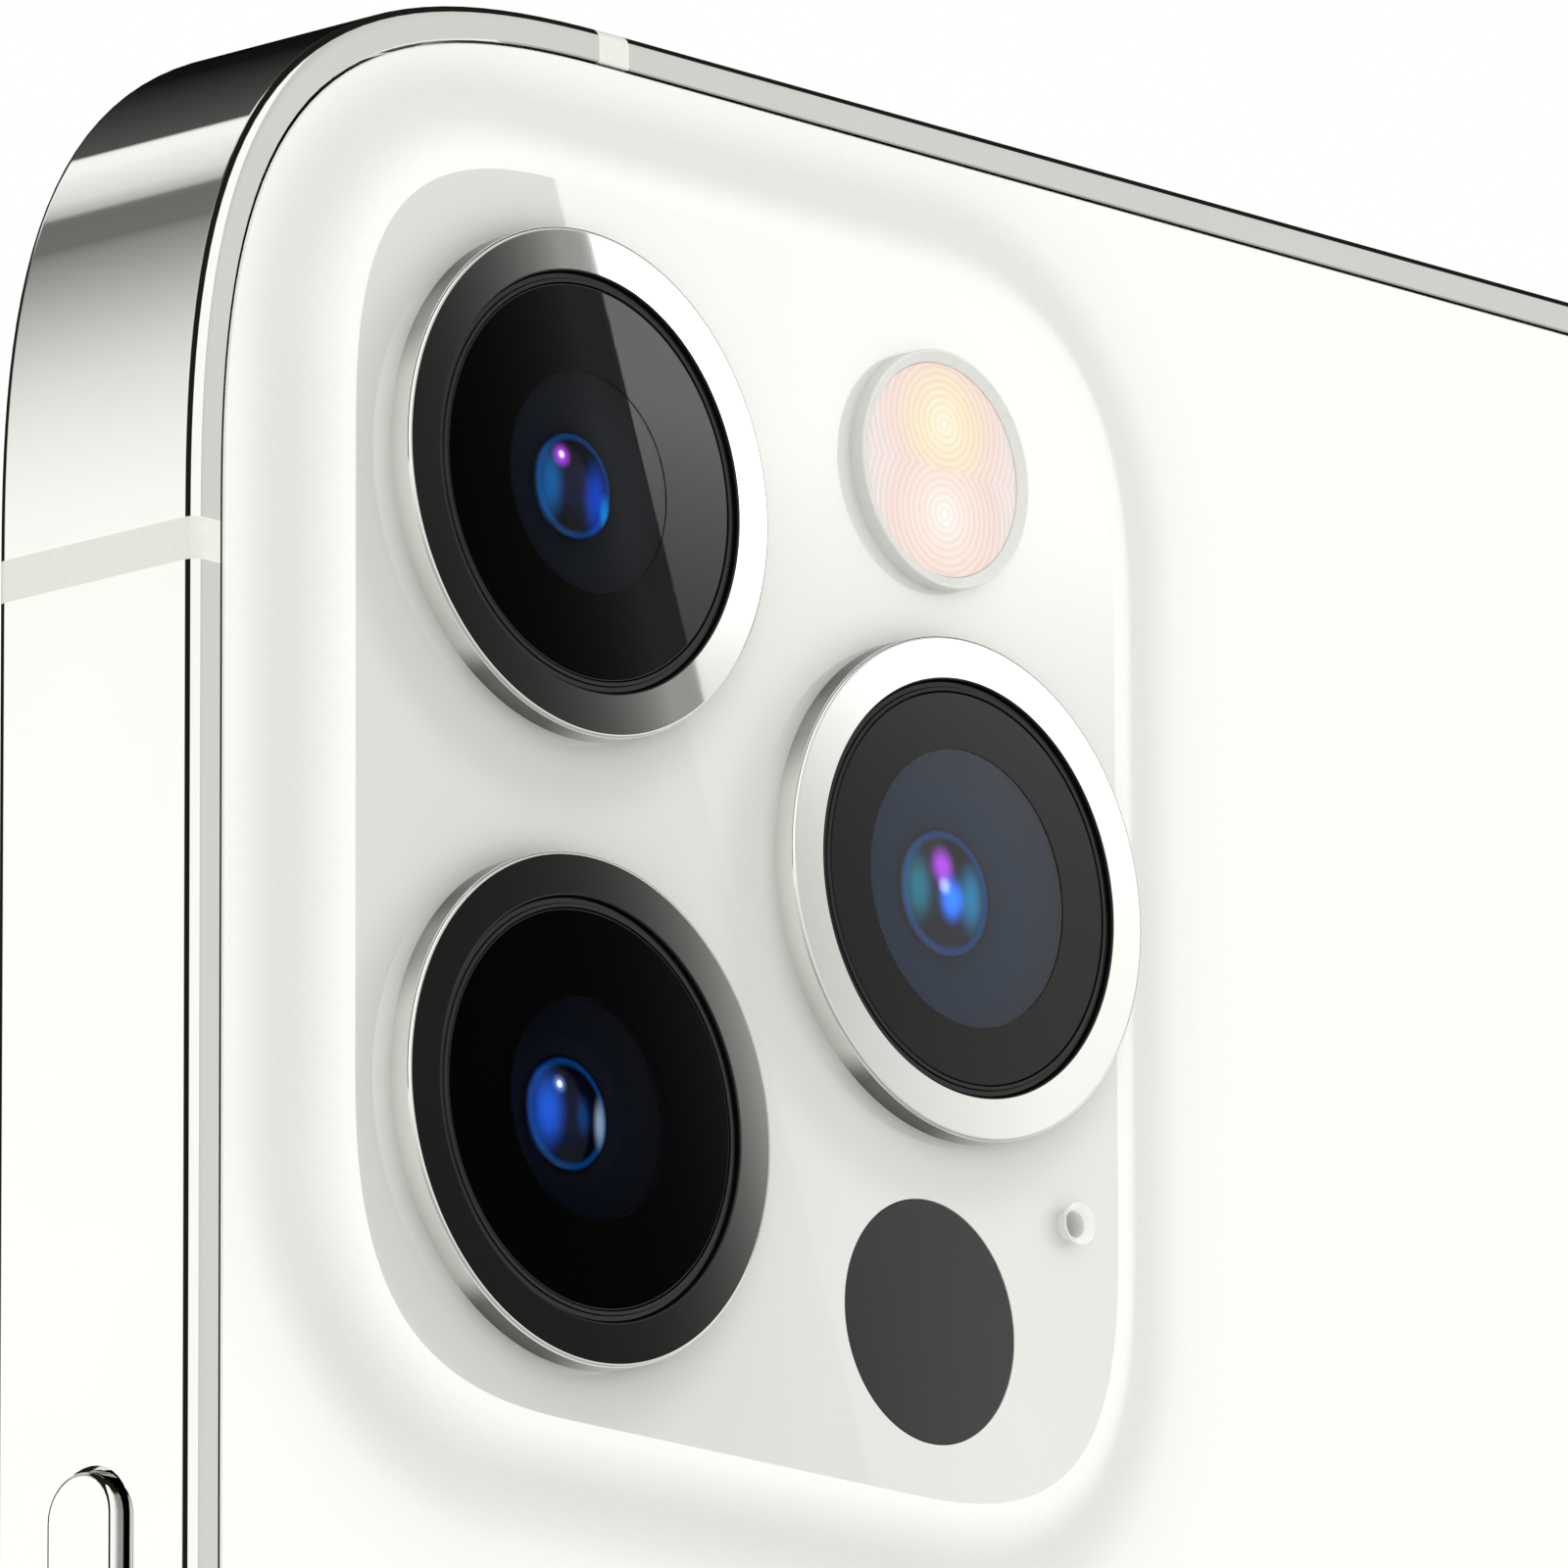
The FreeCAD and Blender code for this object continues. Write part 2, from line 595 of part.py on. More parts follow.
def alignment_magnets():
    pieces = []
    y0, y1 = BACK_SEAT_Y - 0.4, BACK_SEAT_Y
    sweep = 360 / MAGNETS - 0.8
    for i in range(MAGNETS):
        outer = Part.makeCylinder(MAGNET_R1, y1 - y0, V(0, y0, 0), V(0, 1, 0), sweep)
        inner = Part.makeCylinder(MAGNET_R0, y1 - y0 + 2, V(0, y0 - 1, 0), V(0, 1, 0))
        piece = outer.cut(inner)
        piece.rotate(V(0, 0, 0), V(0, 1, 0), 360 * i / MAGNETS + 5)
        piece.translate(V(0, 0, COIL_Z))
        pieces.append(piece)
    pieces.append(box(-1.6, 1.6, y0, y1, COIL_Z - 42, COIL_Z - 29))
    return Part.makeCompound(pieces)


def bottom_speaker():
    solid = rounded_box(9.6, 33.0, -2.45, 1.35, 5.2, 22.6, 1.2)
    duct = box(9.6, HOLE_END + 0.1, MID_Y - 1.1, MID_Y + 1.1, WALL + 0.3, 5.4)
    solid = solid.fuse(duct).cut(box(9.9, HOLE_END - 0.2, MID_Y - 0.8, MID_Y + 0.8, 1.0, 6.4))
    return solid.common(slab(WALL + 0.1, FRONT_Y, REAR_Y))


def haptic_housing():
    solid = rounded_box(-33.0, -8.6, -2.45, 1.35, 12.6, 22.6, 0.8)
    return solid.cut(box(-32.2, -9.4, -1.9, 0.8, 13.4, 21.8))


def haptic_mass():
    return rounded_box(-30.9, -10.7, -1.7, 0.6, 13.6, 21.6, 0.5)


def charge_port():
    outer = bottom_pill(PORT_W + 2 * PORT_SHELL, PORT_T + 2 * PORT_SHELL, 0.12, PORT_DEPTH + 0.6)
    inner = bottom_pill(PORT_W, PORT_T, -1, PORT_DEPTH)
    return outer.cut(inner)


def port_contacts():
    pins = []
    y0 = MID_Y - PORT_T / 2
    for i in range(8):
        x = (i - 3.5) * 0.72
        pins.append(box(x - 0.2, x + 0.2, y0, y0 + 0.32, 3.0, 6.8))
    return Part.makeCompound(pins)


def bottom_screws():
    screws = []
    for s in (-1, 1):
        x = s * SCREW_X
        head = Part.makeCylinder(SCREW_HEAD_R, 0.7, V(x, MID_Y, 0.3))
        shaft = Part.makeCylinder(SCREW_SHAFT_R, 3.4, V(x, MID_Y, 0.9))
        star = Part.makeCylinder(0.3, 0.5, V(x, MID_Y, 0))
        for i in range(5):
            a = 2 * math.pi * i / 5
            star = star.fuse(Part.makeCylinder(0.14, 0.5, V(x + 0.3 * math.cos(a), MID_Y + 0.3 * math.sin(a), 0)))
        screws.append(head.fuse(shaft).cut(star))
    return Part.makeCompound(screws)


def bottom_meshes():
    speaker = box(9.7, HOLE_END, MID_Y - 1.0, MID_Y + 1.0, WALL, WALL + 0.3)
    mic = box(-15.6, -9.7, MID_Y - 1.0, MID_Y + 1.0, WALL, WALL + 0.15)
    inside = slab(WALL, FRONT_Y, REAR_Y)
    return Part.makeCompound([speaker.common(inside), mic])


def bottom_flex():
    strip = box(-17.2, -5.2, 0.5, 0.7, 3.0, 11.8)
    riser = box(-12.4, -8.8, 0.5, 0.7, 11.7, 12.4)
    return strip.fuse(riser)


def save(name, shape):
    shape.exportStep("parts/" + name + ".step")


os.makedirs("parts", exist_ok=True)
save("frame_band", frame_band())
save("antenna_bands", antenna_bands())
save("mid_plate", mid_plate())
save("back_glass", back_glass())
save("display_glass", display_glass())
save("display_gasket", display_gasket())
save("display_panel", display_panel())
save("earpiece_mesh", earpiece_mesh())
save("earpiece_speaker", earpiece_speaker())
save("front_camera", front_camera())
save("front_sensors", front_sensors())
gaskets = []
for camera, from_side, from_top, lens_r, lens_depth in CAMERAS:
    cam_x = HALF_W - from_side
    cam_z = HEIGHT - from_top
    save("lens_ring_" + camera, lens_ring(cam_x, cam_z))
    save("cover_glass_" + camera, cover_glass(cam_x, cam_z))
    save("camera_housing_" + camera, camera_housing(cam_x, cam_z))
    save("lens_barrel_" + camera, lens_barrel(cam_x, cam_z, lens_r, lens_depth))
    save("lens_element_" + camera, lens_element(cam_x, cam_z, lens_r, lens_depth))
    gaskets.append(lens_gasket(cam_x, cam_z))
save("lens_gaskets", Part.makeCompound(gaskets))
save("camera_bracket", camera_bracket())
save("flash_rim", flash_rim())
save("flash_lens", flash_lens())
save("flash_leds", flash_leds())
save("range_window", disc(RANGE_X, RANGE_Z, RANGE_R, PLATEAU_Y - 0.8, PLATEAU_Y))
save("range_module", range_module())
save("rear_mic_tube", rear_mic_tube())
save("rear_mic_module", rear_mic_module())
save("side_button", key(SIDE_KEY_LENGTH, SIDE_KEY_Z))
save("volume_up_button", mirror_x(key(VOLUME_LENGTH, VOLUME_UP_Z)))
save("volume_down_button", mirror_x(key(VOLUME_LENGTH, VOLUME_DOWN_Z)))
save("side_button_contact", key_switch(SIDE_KEY_LENGTH, [SIDE_KEY_Z], SIDE_KEY_Z - 10.6, SIDE_KEY_Z + 10.6))
save("volume_contacts", mirror_x(key_switch(VOLUME_LENGTH, [VOLUME_UP_Z, VOLUME_DOWN_Z],
                                            VOLUME_DOWN_Z - 7.2, VOLUME_UP_Z + 7.2)))
save("ring_switch", ring_switch())
save("ring_switch_base", ring_switch_base())
save("sim_tray", sim_tray())
save("sim_reader", sim_reader())
save("battery", battery())
save("logic_board", logic_board())
save("board_shields", board_shields())
save("main_chip", main_chip())
save("board_screws", board_screws())
save("wireless_coil", wireless_coil())
save("alignment_magnets", alignment_magnets())
save("bottom_speaker", bottom_speaker())
save("haptic_housing", haptic_housing())
save("haptic_mass", haptic_mass())
save("charge_port", charge_port())
save("port_contacts", port_contacts())
save("bottom_screws", bottom_screws())
save("bottom_meshes", bottom_meshes())
save("bottom_flex", bottom_flex())
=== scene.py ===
"""Looks for the smartphone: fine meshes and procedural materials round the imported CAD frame."""
import math

import bmesh
import bpy
from mathutils import Matrix, Vector

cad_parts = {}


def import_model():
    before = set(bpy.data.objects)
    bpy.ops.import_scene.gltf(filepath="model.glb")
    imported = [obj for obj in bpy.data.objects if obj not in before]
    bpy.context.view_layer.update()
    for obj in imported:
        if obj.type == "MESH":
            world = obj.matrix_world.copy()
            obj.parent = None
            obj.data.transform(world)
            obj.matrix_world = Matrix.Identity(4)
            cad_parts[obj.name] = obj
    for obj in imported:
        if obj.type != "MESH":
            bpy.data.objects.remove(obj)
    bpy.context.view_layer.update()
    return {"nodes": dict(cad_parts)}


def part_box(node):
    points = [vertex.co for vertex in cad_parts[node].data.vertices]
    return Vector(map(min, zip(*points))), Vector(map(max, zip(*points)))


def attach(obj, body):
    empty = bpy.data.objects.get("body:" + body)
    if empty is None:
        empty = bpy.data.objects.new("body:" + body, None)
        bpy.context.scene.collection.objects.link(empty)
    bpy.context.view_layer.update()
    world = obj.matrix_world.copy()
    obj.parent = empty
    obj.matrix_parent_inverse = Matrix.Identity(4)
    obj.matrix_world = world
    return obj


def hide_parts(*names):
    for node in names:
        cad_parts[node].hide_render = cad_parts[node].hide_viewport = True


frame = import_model()
MM = 0.001
PHONE = "phone"


# ---------------------------------------------------------------- sizes, in mm, from the CAD frame
def box_mm(node):
    low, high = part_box(node)
    return [c / MM for c in low], [c / MM for c in high]


def centre_of(node):
    """Middle of the node as (x, z)."""
    low, high = box_mm(node)
    return (low[0] + high[0]) / 2, (low[2] + high[2]) / 2


def radius_of(node):
    low, high = box_mm(node)
    return (high[0] - low[0]) / 2


def height_of(node):
    low, high = box_mm(node)
    return high[2] - low[2]


frame_low, frame_high = box_mm("frame_band")
HALF_W = frame_high[0]
HEIGHT = frame_high[2]
FRONT_Y = frame_low[1]
REAR_Y = frame_high[1]
MID_Y = (FRONT_Y + REAR_Y) / 2
PLATEAU_Y = box_mm("back_glass")[1][1]
BACK_SEAT_Y = box_mm("back_glass")[0][1]
RING_Y = box_mm("lens_ring_upper")[1][1]

# the same driving sizes as the CAD source
CORNER = 16.8
POLE_A = 0.30
POLE_B = 0.7726
CORNER_SHRINK = (1 - math.sqrt(0.5)) * 32 / (16 - 10 * POLE_B - 5 * POLE_A)
EDGE_ROUND = 0.4
LIP = 1.0
WALL = 2.0
GLASS_GAP = 0.08
FRONT_SEAT_Y = FRONT_Y + 1.2
BAND_WIDTH = 1.15
BAND_DEPTH = 1.2
SIDE_BAND = 16.9
END_BAND = 15.9
PLATEAU_X = HALF_W - 19.75
PLATEAU_Z = HEIGHT - 21.8
PLATEAU_W = 29.5
PLATEAU_H = 33.7
PLATEAU_CORNER = 8.5
PLATEAU_BLEND = 2.4
RING_BORE_R = 5.70
RING_FACE_R = 6.80
RING_R = 6.90
SLEEVE_R = 6.25
COVER_R = 5.35
COVER_Y = box_mm("cover_glass_upper")[1][1]
KEY_WIDTH = 2.44
KEY_GAP = 0.12
KEY_END_HIDDEN = 1.0
KEY_FLANGE_X = (34.12, 34.42)
KEY_FLANGE_W = 3.2
BAND_REACH_Y = 9
CORNER_STEPS = 40
CAMERAS = ("upper", "lower", "side")
FOCUS_BODIES = {"upper": "upper_focus_carrier", "lower": "lower_focus_carrier"}


# ---------------------------------------------------------------- mesh helpers
def corner_curve(length, steps):
    """Continuous-curvature corner from (0, length) to (length, 0), as distances from the two sides."""
    a = length * (1 - POLE_A)
    b = length * (1 - POLE_B)
    poles = [(0, length), (0, a), (0, b), (b, 0), (a, 0), (length, 0)]
    points = []
    for i in range(steps + 1):
        t = i / steps
        u = 0
        v = 0
        for k, (pu, pv) in enumerate(poles):
            weight = math.comb(5, k) * t ** k * (1 - t) ** (5 - k)
            u += weight * pu
            v += weight * pv
        points.append((u, v))
    return points


def rounded_loop(cx, cz, w, h, corner, y):
    """Closed loop of points in the plane y, starting at the top of the +X side, going over the top."""
    curve = corner_curve(corner, CORNER_STEPS)
    half_w = w / 2
    half_h = h / 2
    loop = []
    for sx, sz, flip in ((1, 1, False), (-1, 1, True), (-1, -1, False), (1, -1, True)):
        points = reversed(curve) if flip else curve
        for u, v in points:
            loop.append((cx + sx * (half_w - u), y, cz + sz * (half_h - v)))
    return loop


def body_loop(inset, y):
    return rounded_loop(0, HEIGHT / 2, 2 * (HALF_W - inset), HEIGHT - 2 * inset,
                        CORNER - inset * CORNER_SHRINK, y)


def arc(cx, cy, radius, start, end, steps):
    points = []
    for i in range(steps + 1):
        a = math.radians(start + (end - start) * i / steps)
        points.append((cx + radius * math.cos(a), cy + radius * math.sin(a)))
    return points


def loft(name, loops, cyclic=False):
    """Mesh through loops of equal length; open lofts get both ends capped. Points are in mm."""
    count = len(loops[0])
    verts = [tuple(c * MM for c in point) for loop in loops for point in loop]
    faces = []
    last = len(loops) if cyclic else len(loops) - 1
    for j in range(last):
        a = j * count
        b = ((j + 1) % len(loops)) * count
        for i in range(count):
            k = (i + 1) % count
            faces.append((a + i, a + k, b + k, b + i))
    if not cyclic:
        faces.append(tuple(range(count - 1, -1, -1)))
        faces.append(tuple(range((len(loops) - 1) * count, len(loops) * count)))
    mesh = bpy.data.meshes.new(name)
    mesh.from_pydata(verts, [], faces)
    obj = bpy.data.objects.new(name, mesh)
    bpy.context.scene.collection.objects.link(obj)
    outward(obj)
    return obj


def outward(obj):
    """Welds doubled points and turns every face outwards."""
    work = bmesh.new()
    work.from_mesh(obj.data)
    bmesh.ops.remove_doubles(work, verts=work.verts, dist=1e-8)
    bmesh.ops.recalc_face_normals(work, faces=work.faces)
    work.to_mesh(obj.data)
    work.free()


def lathe(name, x, z, profile, segments=256):
    """Ring turned about the Y line through (x, z); profile is a closed outline of (radius, y) in mm."""
    loops = []
    for i in range(segments):
        a = 2 * math.pi * i / segments
        loops.append([(x + r * math.cos(a), y, z + r * math.sin(a)) for r, y in profile])
    return loft(name, loops, cyclic=True)


def turned_disc(name, x, z, profile, segments=192):
    """Solid of revolution that closes on its axis at both ends of the profile."""
    loops = []
    for r, y in profile:
        loops.append([(x + r * math.cos(2 * math.pi * i / segments), y,
                       z + r * math.sin(2 * math.pi * i / segments)) for i in range(segments)])
    return loft(name, loops)


def pill_loop(x, z, length, width, grow=0.0, y=None, steps=16):
    """Stadium in the plane x, long way up."""
    y = MID_Y if y is None else y
    r = width / 2
    half = length / 2 - r
    loop = []
    for centre, start in ((half, 0), (-half, 180)):
        for u, v in arc(0, centre, r + grow, start, start + 180, steps):
            loop.append((x, y + u, z + v))
    return loop


def flat_pill_loop(z, length, width, grow=0.0, steps=16):
    """Stadium in the plane z, long way across."""
    r = width / 2
    half = length / 2 - r
    loop = []
    for centre, start in ((half, -90), (-half, 90)):
        for u, v in arc(centre, 0, r + grow, start, start + 180, steps):
            loop.append((u, MID_Y + v, z))
    return loop


def block(name, low, high):
    loops = []
    for y in (low[1], high[1]):
        loops.append([(low[0], y, low[2]), (high[0], y, low[2]),
                      (high[0], y, high[2]), (low[0], y, high[2])])
    return loft(name, loops)


def cut(obj, cutters, operation="DIFFERENCE"):
    """Applies exact booleans with each cutter, then deletes the cutters."""
    for cutter in cutters:
        modifier = obj.modifiers.new("cut", "BOOLEAN")
        modifier.operation = operation
        modifier.solver = "EXACT"
        modifier.object = cutter
    bpy.context.view_layer.update()
    evaluated = obj.evaluated_get(bpy.context.evaluated_depsgraph_get())
    mesh = bpy.data.meshes.new_from_object(evaluated)
    obj.modifiers.clear()
    obj.data = mesh
    for cutter in cutters:
        bpy.data.objects.remove(cutter)


def copy_of(obj, name):
    twin = bpy.data.objects.new(name, obj.data.copy())
    bpy.context.scene.collection.objects.link(twin)
    return twin


def smooth(obj, angle=32):
    """Smooth shading with crisp creases; large faces weigh far more, so that flats stay flat."""
    mesh = obj.data
    limit = math.cos(math.radians(angle))
    around = [[] for _ in mesh.vertices]
    for face in mesh.polygons:
        for vertex in face.vertices:
            around[vertex].append((face.normal.copy(), (face.area / MM ** 2) ** 3))
    normals = []
    for face in mesh.polygons:
        own = face.normal.copy()
        for vertex in face.vertices:
            total = own * 1e-15
            for normal, area in around[vertex]:
                if normal.dot(own) > limit:
                    total += normal * area
            normals.append(total.normalized())
    mesh.shade_smooth()
    mesh.normals_split_custom_set(normals)


def piece(obj, nodes, materials, body=PHONE, crease=32):
    """Finishes one visible piece and ties it to the frame."""
    smooth(obj, crease)
    for material in materials:
        obj.data.materials.append(material)
    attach(obj, body)
    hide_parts(*nodes)
    return obj


# ---------------------------------------------------------------- materials
class Nodes:
    """Short calls that add nodes to a tree."""

    def __init__(self, tree, coordinates):
        self.tree = tree
        self.coords = tree.nodes.new("ShaderNodeTexCoord").outputs[coordinates]

    def node(self, kind, inputs=(), **settings):
        made = self.tree.nodes.new("ShaderNode" + kind)
        for key, value in settings.items():
            setattr(made, key, value)
        for key, value in dict(inputs).items():
            self.feed(made.inputs[key], value)
        return made

    def feed(self, socket, value):
        if isinstance(value, bpy.types.NodeSocket):
            self.tree.links.new(value, socket)
        else:
            socket.default_value = value

    def noise(self, size_mm, detail=2.0, rough=0.5):
        """Noise whose features measure about size_mm."""
        made = self.node("TexNoise", {"Vector": self.coords, "Scale": 1 / (size_mm * MM), "Detail": detail,
                                      "Roughness": rough})
        return made.outputs["Fac"]

    def math(self, operation, a, b=0.0):
        return self.node("Math", {0: a, 1: b}, operation=operation).outputs[0]

    def length(self, u, v):
        """Length of the vector (u, v)."""
        total = self.math("ADD", self.math("MULTIPLY", u, u), self.math("MULTIPLY", v, v))
        return self.math("SQRT", total)

    def turn(self, across, up):
        """Angle of (across, up), from 0 to 1 for -180 to 180 degrees."""
        return self.spread(self.math("ARCTAN2", up, across), -math.pi, math.pi, 0, 1)

    def scaled(self, colour, factor):
        return self.node("VectorMath", {0: colour, "Scale": factor}, operation="SCALE").outputs[0]

    def mixed(self, factor, first, second):
        return self.node("Mix", {0: factor, 6: first, 7: second}, data_type="RGBA").outputs[2]

    def spread(self, value, low, high, out_low, out_high, kind="LINEAR"):
        return self.node("MapRange", {"Value": value, "From Min": low, "From Max": high, "To Min": out_low,
                                      "To Max": out_high}, interpolation_type=kind).outputs["Result"]

    def ramp(self, value, stops, interpolation="LINEAR"):
        made = self.node("ValToRGB", {"Fac": value})
        made.color_ramp.interpolation = interpolation
        elements = made.color_ramp.elements
        while len(elements) < len(stops):
            elements.new(0.5)
        for element, (place, colour) in zip(elements, stops):
            element.position = place
            element.color = (*colour, 1)
        return made.outputs["Color"]

    def axis(self, name):
        return self.node("SeparateXYZ", {"Vector": self.coords}).outputs[name]

    def around(self, x, z):
        """Distance from the Y line through (x, z), in mm."""
        dx = self.math("SUBTRACT", self.axis("X"), x * MM)
        dz = self.math("SUBTRACT", self.axis("Z"), z * MM)
        return self.math("DIVIDE", self.length(dx, dz), MM)


class Look(Nodes):
    """A node material: a Principled shader and the nodes that feed it."""

    def __init__(self, name, **sockets):
        self.material = bpy.data.materials.new(name)
        self.material.use_nodes = True
        super().__init__(self.material.node_tree, "Object")
        self.shader = self.tree.nodes["Principled BSDF"]
        for key, value in sockets.items():
            self.shader.inputs[key.replace("_", " ")].default_value = value

    def bump(self, height, depth_mm):
        made = self.node("Bump", {"Height": height, "Distance": depth_mm * MM, "Strength": 1.0})
        self.tree.links.new(made.outputs["Normal"], self.shader.inputs["Normal"])

    def set(self, key, value):
        self.feed(self.shader.inputs[key], value)


def speckled(name, colour, size_mm=0.4, roughness=0.5, variation=0.12, depth_mm=0.004, **sockets):
    """Moulded or plated surface: slight tone and gloss changes with a fine relief."""
    look = Look(name, **sockets)
    grain = look.noise(size_mm, 4)
    dark = tuple(c * (1 - variation) for c in colour)
    light = tuple(min(1, c * (1 + variation)) for c in colour)
    look.set("Base Color", look.ramp(grain, [(0.3, dark), (0.7, light)]))
    look.set("Roughness", look.spread(grain, 0.3, 0.7, roughness * 0.85, min(1, roughness * 1.15)))
    look.bump(grain, depth_mm)
    return look.material


def polished_steel(name, roughness=0.014):
    look = Look(name, Metallic=1.0)
    haze = look.noise(6, 3)
    look.set("Base Color", look.ramp(haze, [(0.35, (0.945, 0.955, 0.925)), (0.65, (0.965, 0.972, 0.945))]))
    look.set("Roughness", look.spread(haze, 0.35, 0.65, roughness * 0.7, roughness * 1.3))
    return look.material


def steel_with_painted_light(name, tone_at):
    """Steel for the short walls of rings and keys, with reflections and shade painted into its tone; tone_at
    gives that tone from the look's own nodes.
    """
    look = Look(name, Metallic=1.0)
    look.set("Base Color", tone_at(look))
    look.set("Roughness", look.spread(look.noise(0.5, 2), 0.3, 0.7, 0.10, 0.16))
    return look.material


def frosted_glass():
    """Etched white glass of the back."""
    look = Look("frosted_glass", IOR=1.5)
    grain = look.noise(0.055, 3, 0.6)
    tone = look.ramp(grain, [(0.3, (0.900, 0.908, 0.878)), (0.7, (0.950, 0.958, 0.928))])
    # painted shade: the glass is painted darker along the foot of the plateau's slope
    round_off = 6.2
    past_x = look.math("SUBTRACT", look.axis("X"), PLATEAU_X * MM)
    past_x = look.math("SUBTRACT", look.math("ABSOLUTE", past_x), (PLATEAU_W / 2 - round_off) * MM)
    past_z = look.math("SUBTRACT", look.axis("Z"), PLATEAU_Z * MM)
    past_z = look.math("SUBTRACT", look.math("ABSOLUTE", past_z), (PLATEAU_H / 2 - round_off) * MM)
    past_x = look.math("MAXIMUM", past_x, 0.0)
    past_z = look.math("MAXIMUM", past_z, 0.0)
    beyond = look.math("SUBTRACT", look.math("DIVIDE", look.length(past_x, past_z), MM), round_off)
    painted_foot_shade = look.ramp(look.math("DIVIDE", beyond, 6.0), [
        (0.0, (1, 1, 1)), (0.13, (0.97, 0.97, 0.97)),
        (0.26, (0.80, 0.80, 0.80)), (0.40, (0.78, 0.78, 0.78)),
        (0.58, (0.96, 0.96, 0.96)), (1.0, (1, 1, 1))], "B_SPLINE")
    look.set("Base Color", look.node("VectorMath", {0: tone, 1: painted_foot_shade}, operation="MULTIPLY").outputs[0])
    look.set("Roughness", look.spread(grain, 0.3, 0.7, 0.50, 0.62))
    look.bump(grain, 0.0012)
    return look.material


def gloss_glass():
    """Polished white glass of the plateau."""
    look = Look("gloss_glass", IOR=1.8)
    haze = look.noise(9, 2)
    tone = look.ramp(haze, [(0.3, (0.735, 0.742, 0.714)), (0.7, (0.755, 0.762, 0.733))])
    # painted soft shadow round each camera, shifted a little down and to the +X side
    painted_shadow_shift = 1.0
    painted_shadow_width = 1.9
    for name in CAMERAS:
        x, z = centre_of("lens_ring_" + name)
        away = look.around(x + painted_shadow_shift, z - painted_shadow_shift)
        # painted shadow: darker close to the ring, fading out over the width
        near = look.spread(away, RING_R, RING_R + painted_shadow_width, 0.88, 1.0, "SMOOTHERSTEP")
        tone = look.scaled(tone, near)
    look.set("Base Color", tone)
    look.set("Roughness", look.spread(haze, 0.3, 0.7, 0.006, 0.010))
    return look.material


def black_glass(name, colour, roughness=0.03, ior=1.5):
    look = Look(name, IOR=ior)
    haze = look.noise(5, 2)
    light = tuple(c * 1.25 for c in colour)
    look.set("Base Color", look.ramp(haze, [(0.3, colour), (0.7, light)]))
    look.set("Roughness", look.spread(haze, 0.3, 0.7, roughness * 0.8, roughness * 1.2))
    return look.material


def clear_glass(name, ior, tint):
    look = Look(name, IOR=ior)
    look.shader.inputs["Transmission Weight"].default_value = 1.0
    haze = look.noise(4, 2)
    look.set("Base Color", look.ramp(haze, [(0.3, tint), (0.7, (1.0, 1.0, 1.0))]))
    look.set("Roughness", look.spread(haze, 0.3, 0.7, 0.0, 0.002))
    return look.material


def tunnel_black(name, x, z, rim, colour):
    """Inside of a lens barrel: near black at the rim, with the coatings' coloured reflection painted on as a
    tint towards the element.
    """
    look = Look(name)
    r = look.around(x, z)
    # painted reflection: the coatings' blue painted into the tunnel's colour
    tint = look.ramp(look.math("DIVIDE", r, rim), [(0.40, tuple(c * 0.25 for c in colour)), (0.62, colour),
                                                 (1.0, tuple(c * 0.8 for c in colour))])
    look.set("Base Color", tint)
    grain = look.noise(0.15, 2)
    look.set("Roughness", look.spread(grain, 0.3, 0.7, 0.45, 0.6))
    look.shader.inputs["Specular IOR Level"].default_value = 0.1
    look.bump(grain, 0.001)
    return look.material


def element_with_painted_glints(name, x, z, radius, spots):
    """Front lens element: black glass with the coloured reflections of its coatings painted on as glowing
    soft spots and rims.
    """
    look = Look(name, IOR=1.2)
    grain = look.noise(0.8)
    look.set("Base Color", look.ramp(grain, [(0.3, (0.001, 0.001, 0.003)), (0.7, (0.002, 0.002, 0.004))]))
    look.shader.inputs["Roughness"].default_value = 0.02
    total = None
    for dx, dz, size, squeeze, colour in spots:
        u = look.math("SUBTRACT", look.axis("X"), (x + dx * radius) * MM)
        v = look.math("SUBTRACT", look.axis("Z"), (z + dz * radius) * MM)
        u = look.math("MULTIPLY", u, squeeze)
        glow = look.spread(look.length(u, v), 0.0, size * radius * MM, 1.0, 0.0, "SMOOTHERSTEP")
        tinted = look.scaled(colour, glow)
        total = tinted if total is None else look.node("VectorMath", {0: total, 1: tinted}).outputs[0]
    # painted rim highlight, a glowing ring near the element's edge
    ring = look.math("DIVIDE", look.around(x, z), radius)
    edge = look.math("MULTIPLY", look.spread(ring, 0.80, 0.90, 0, 1, "SMOOTHSTEP"),
                     look.spread(ring, 0.92, 0.99, 1, 0, "SMOOTHSTEP"))
    rim = look.scaled((0.0, 0.02, 0.09), edge)
    total = look.node("VectorMath", {0: total, 1: rim}).outputs[0]
    # the painted reflections glow as emission
    look.set("Emission Color", total)
    look.shader.inputs["Emission Strength"].default_value = 1.6
    return look.material


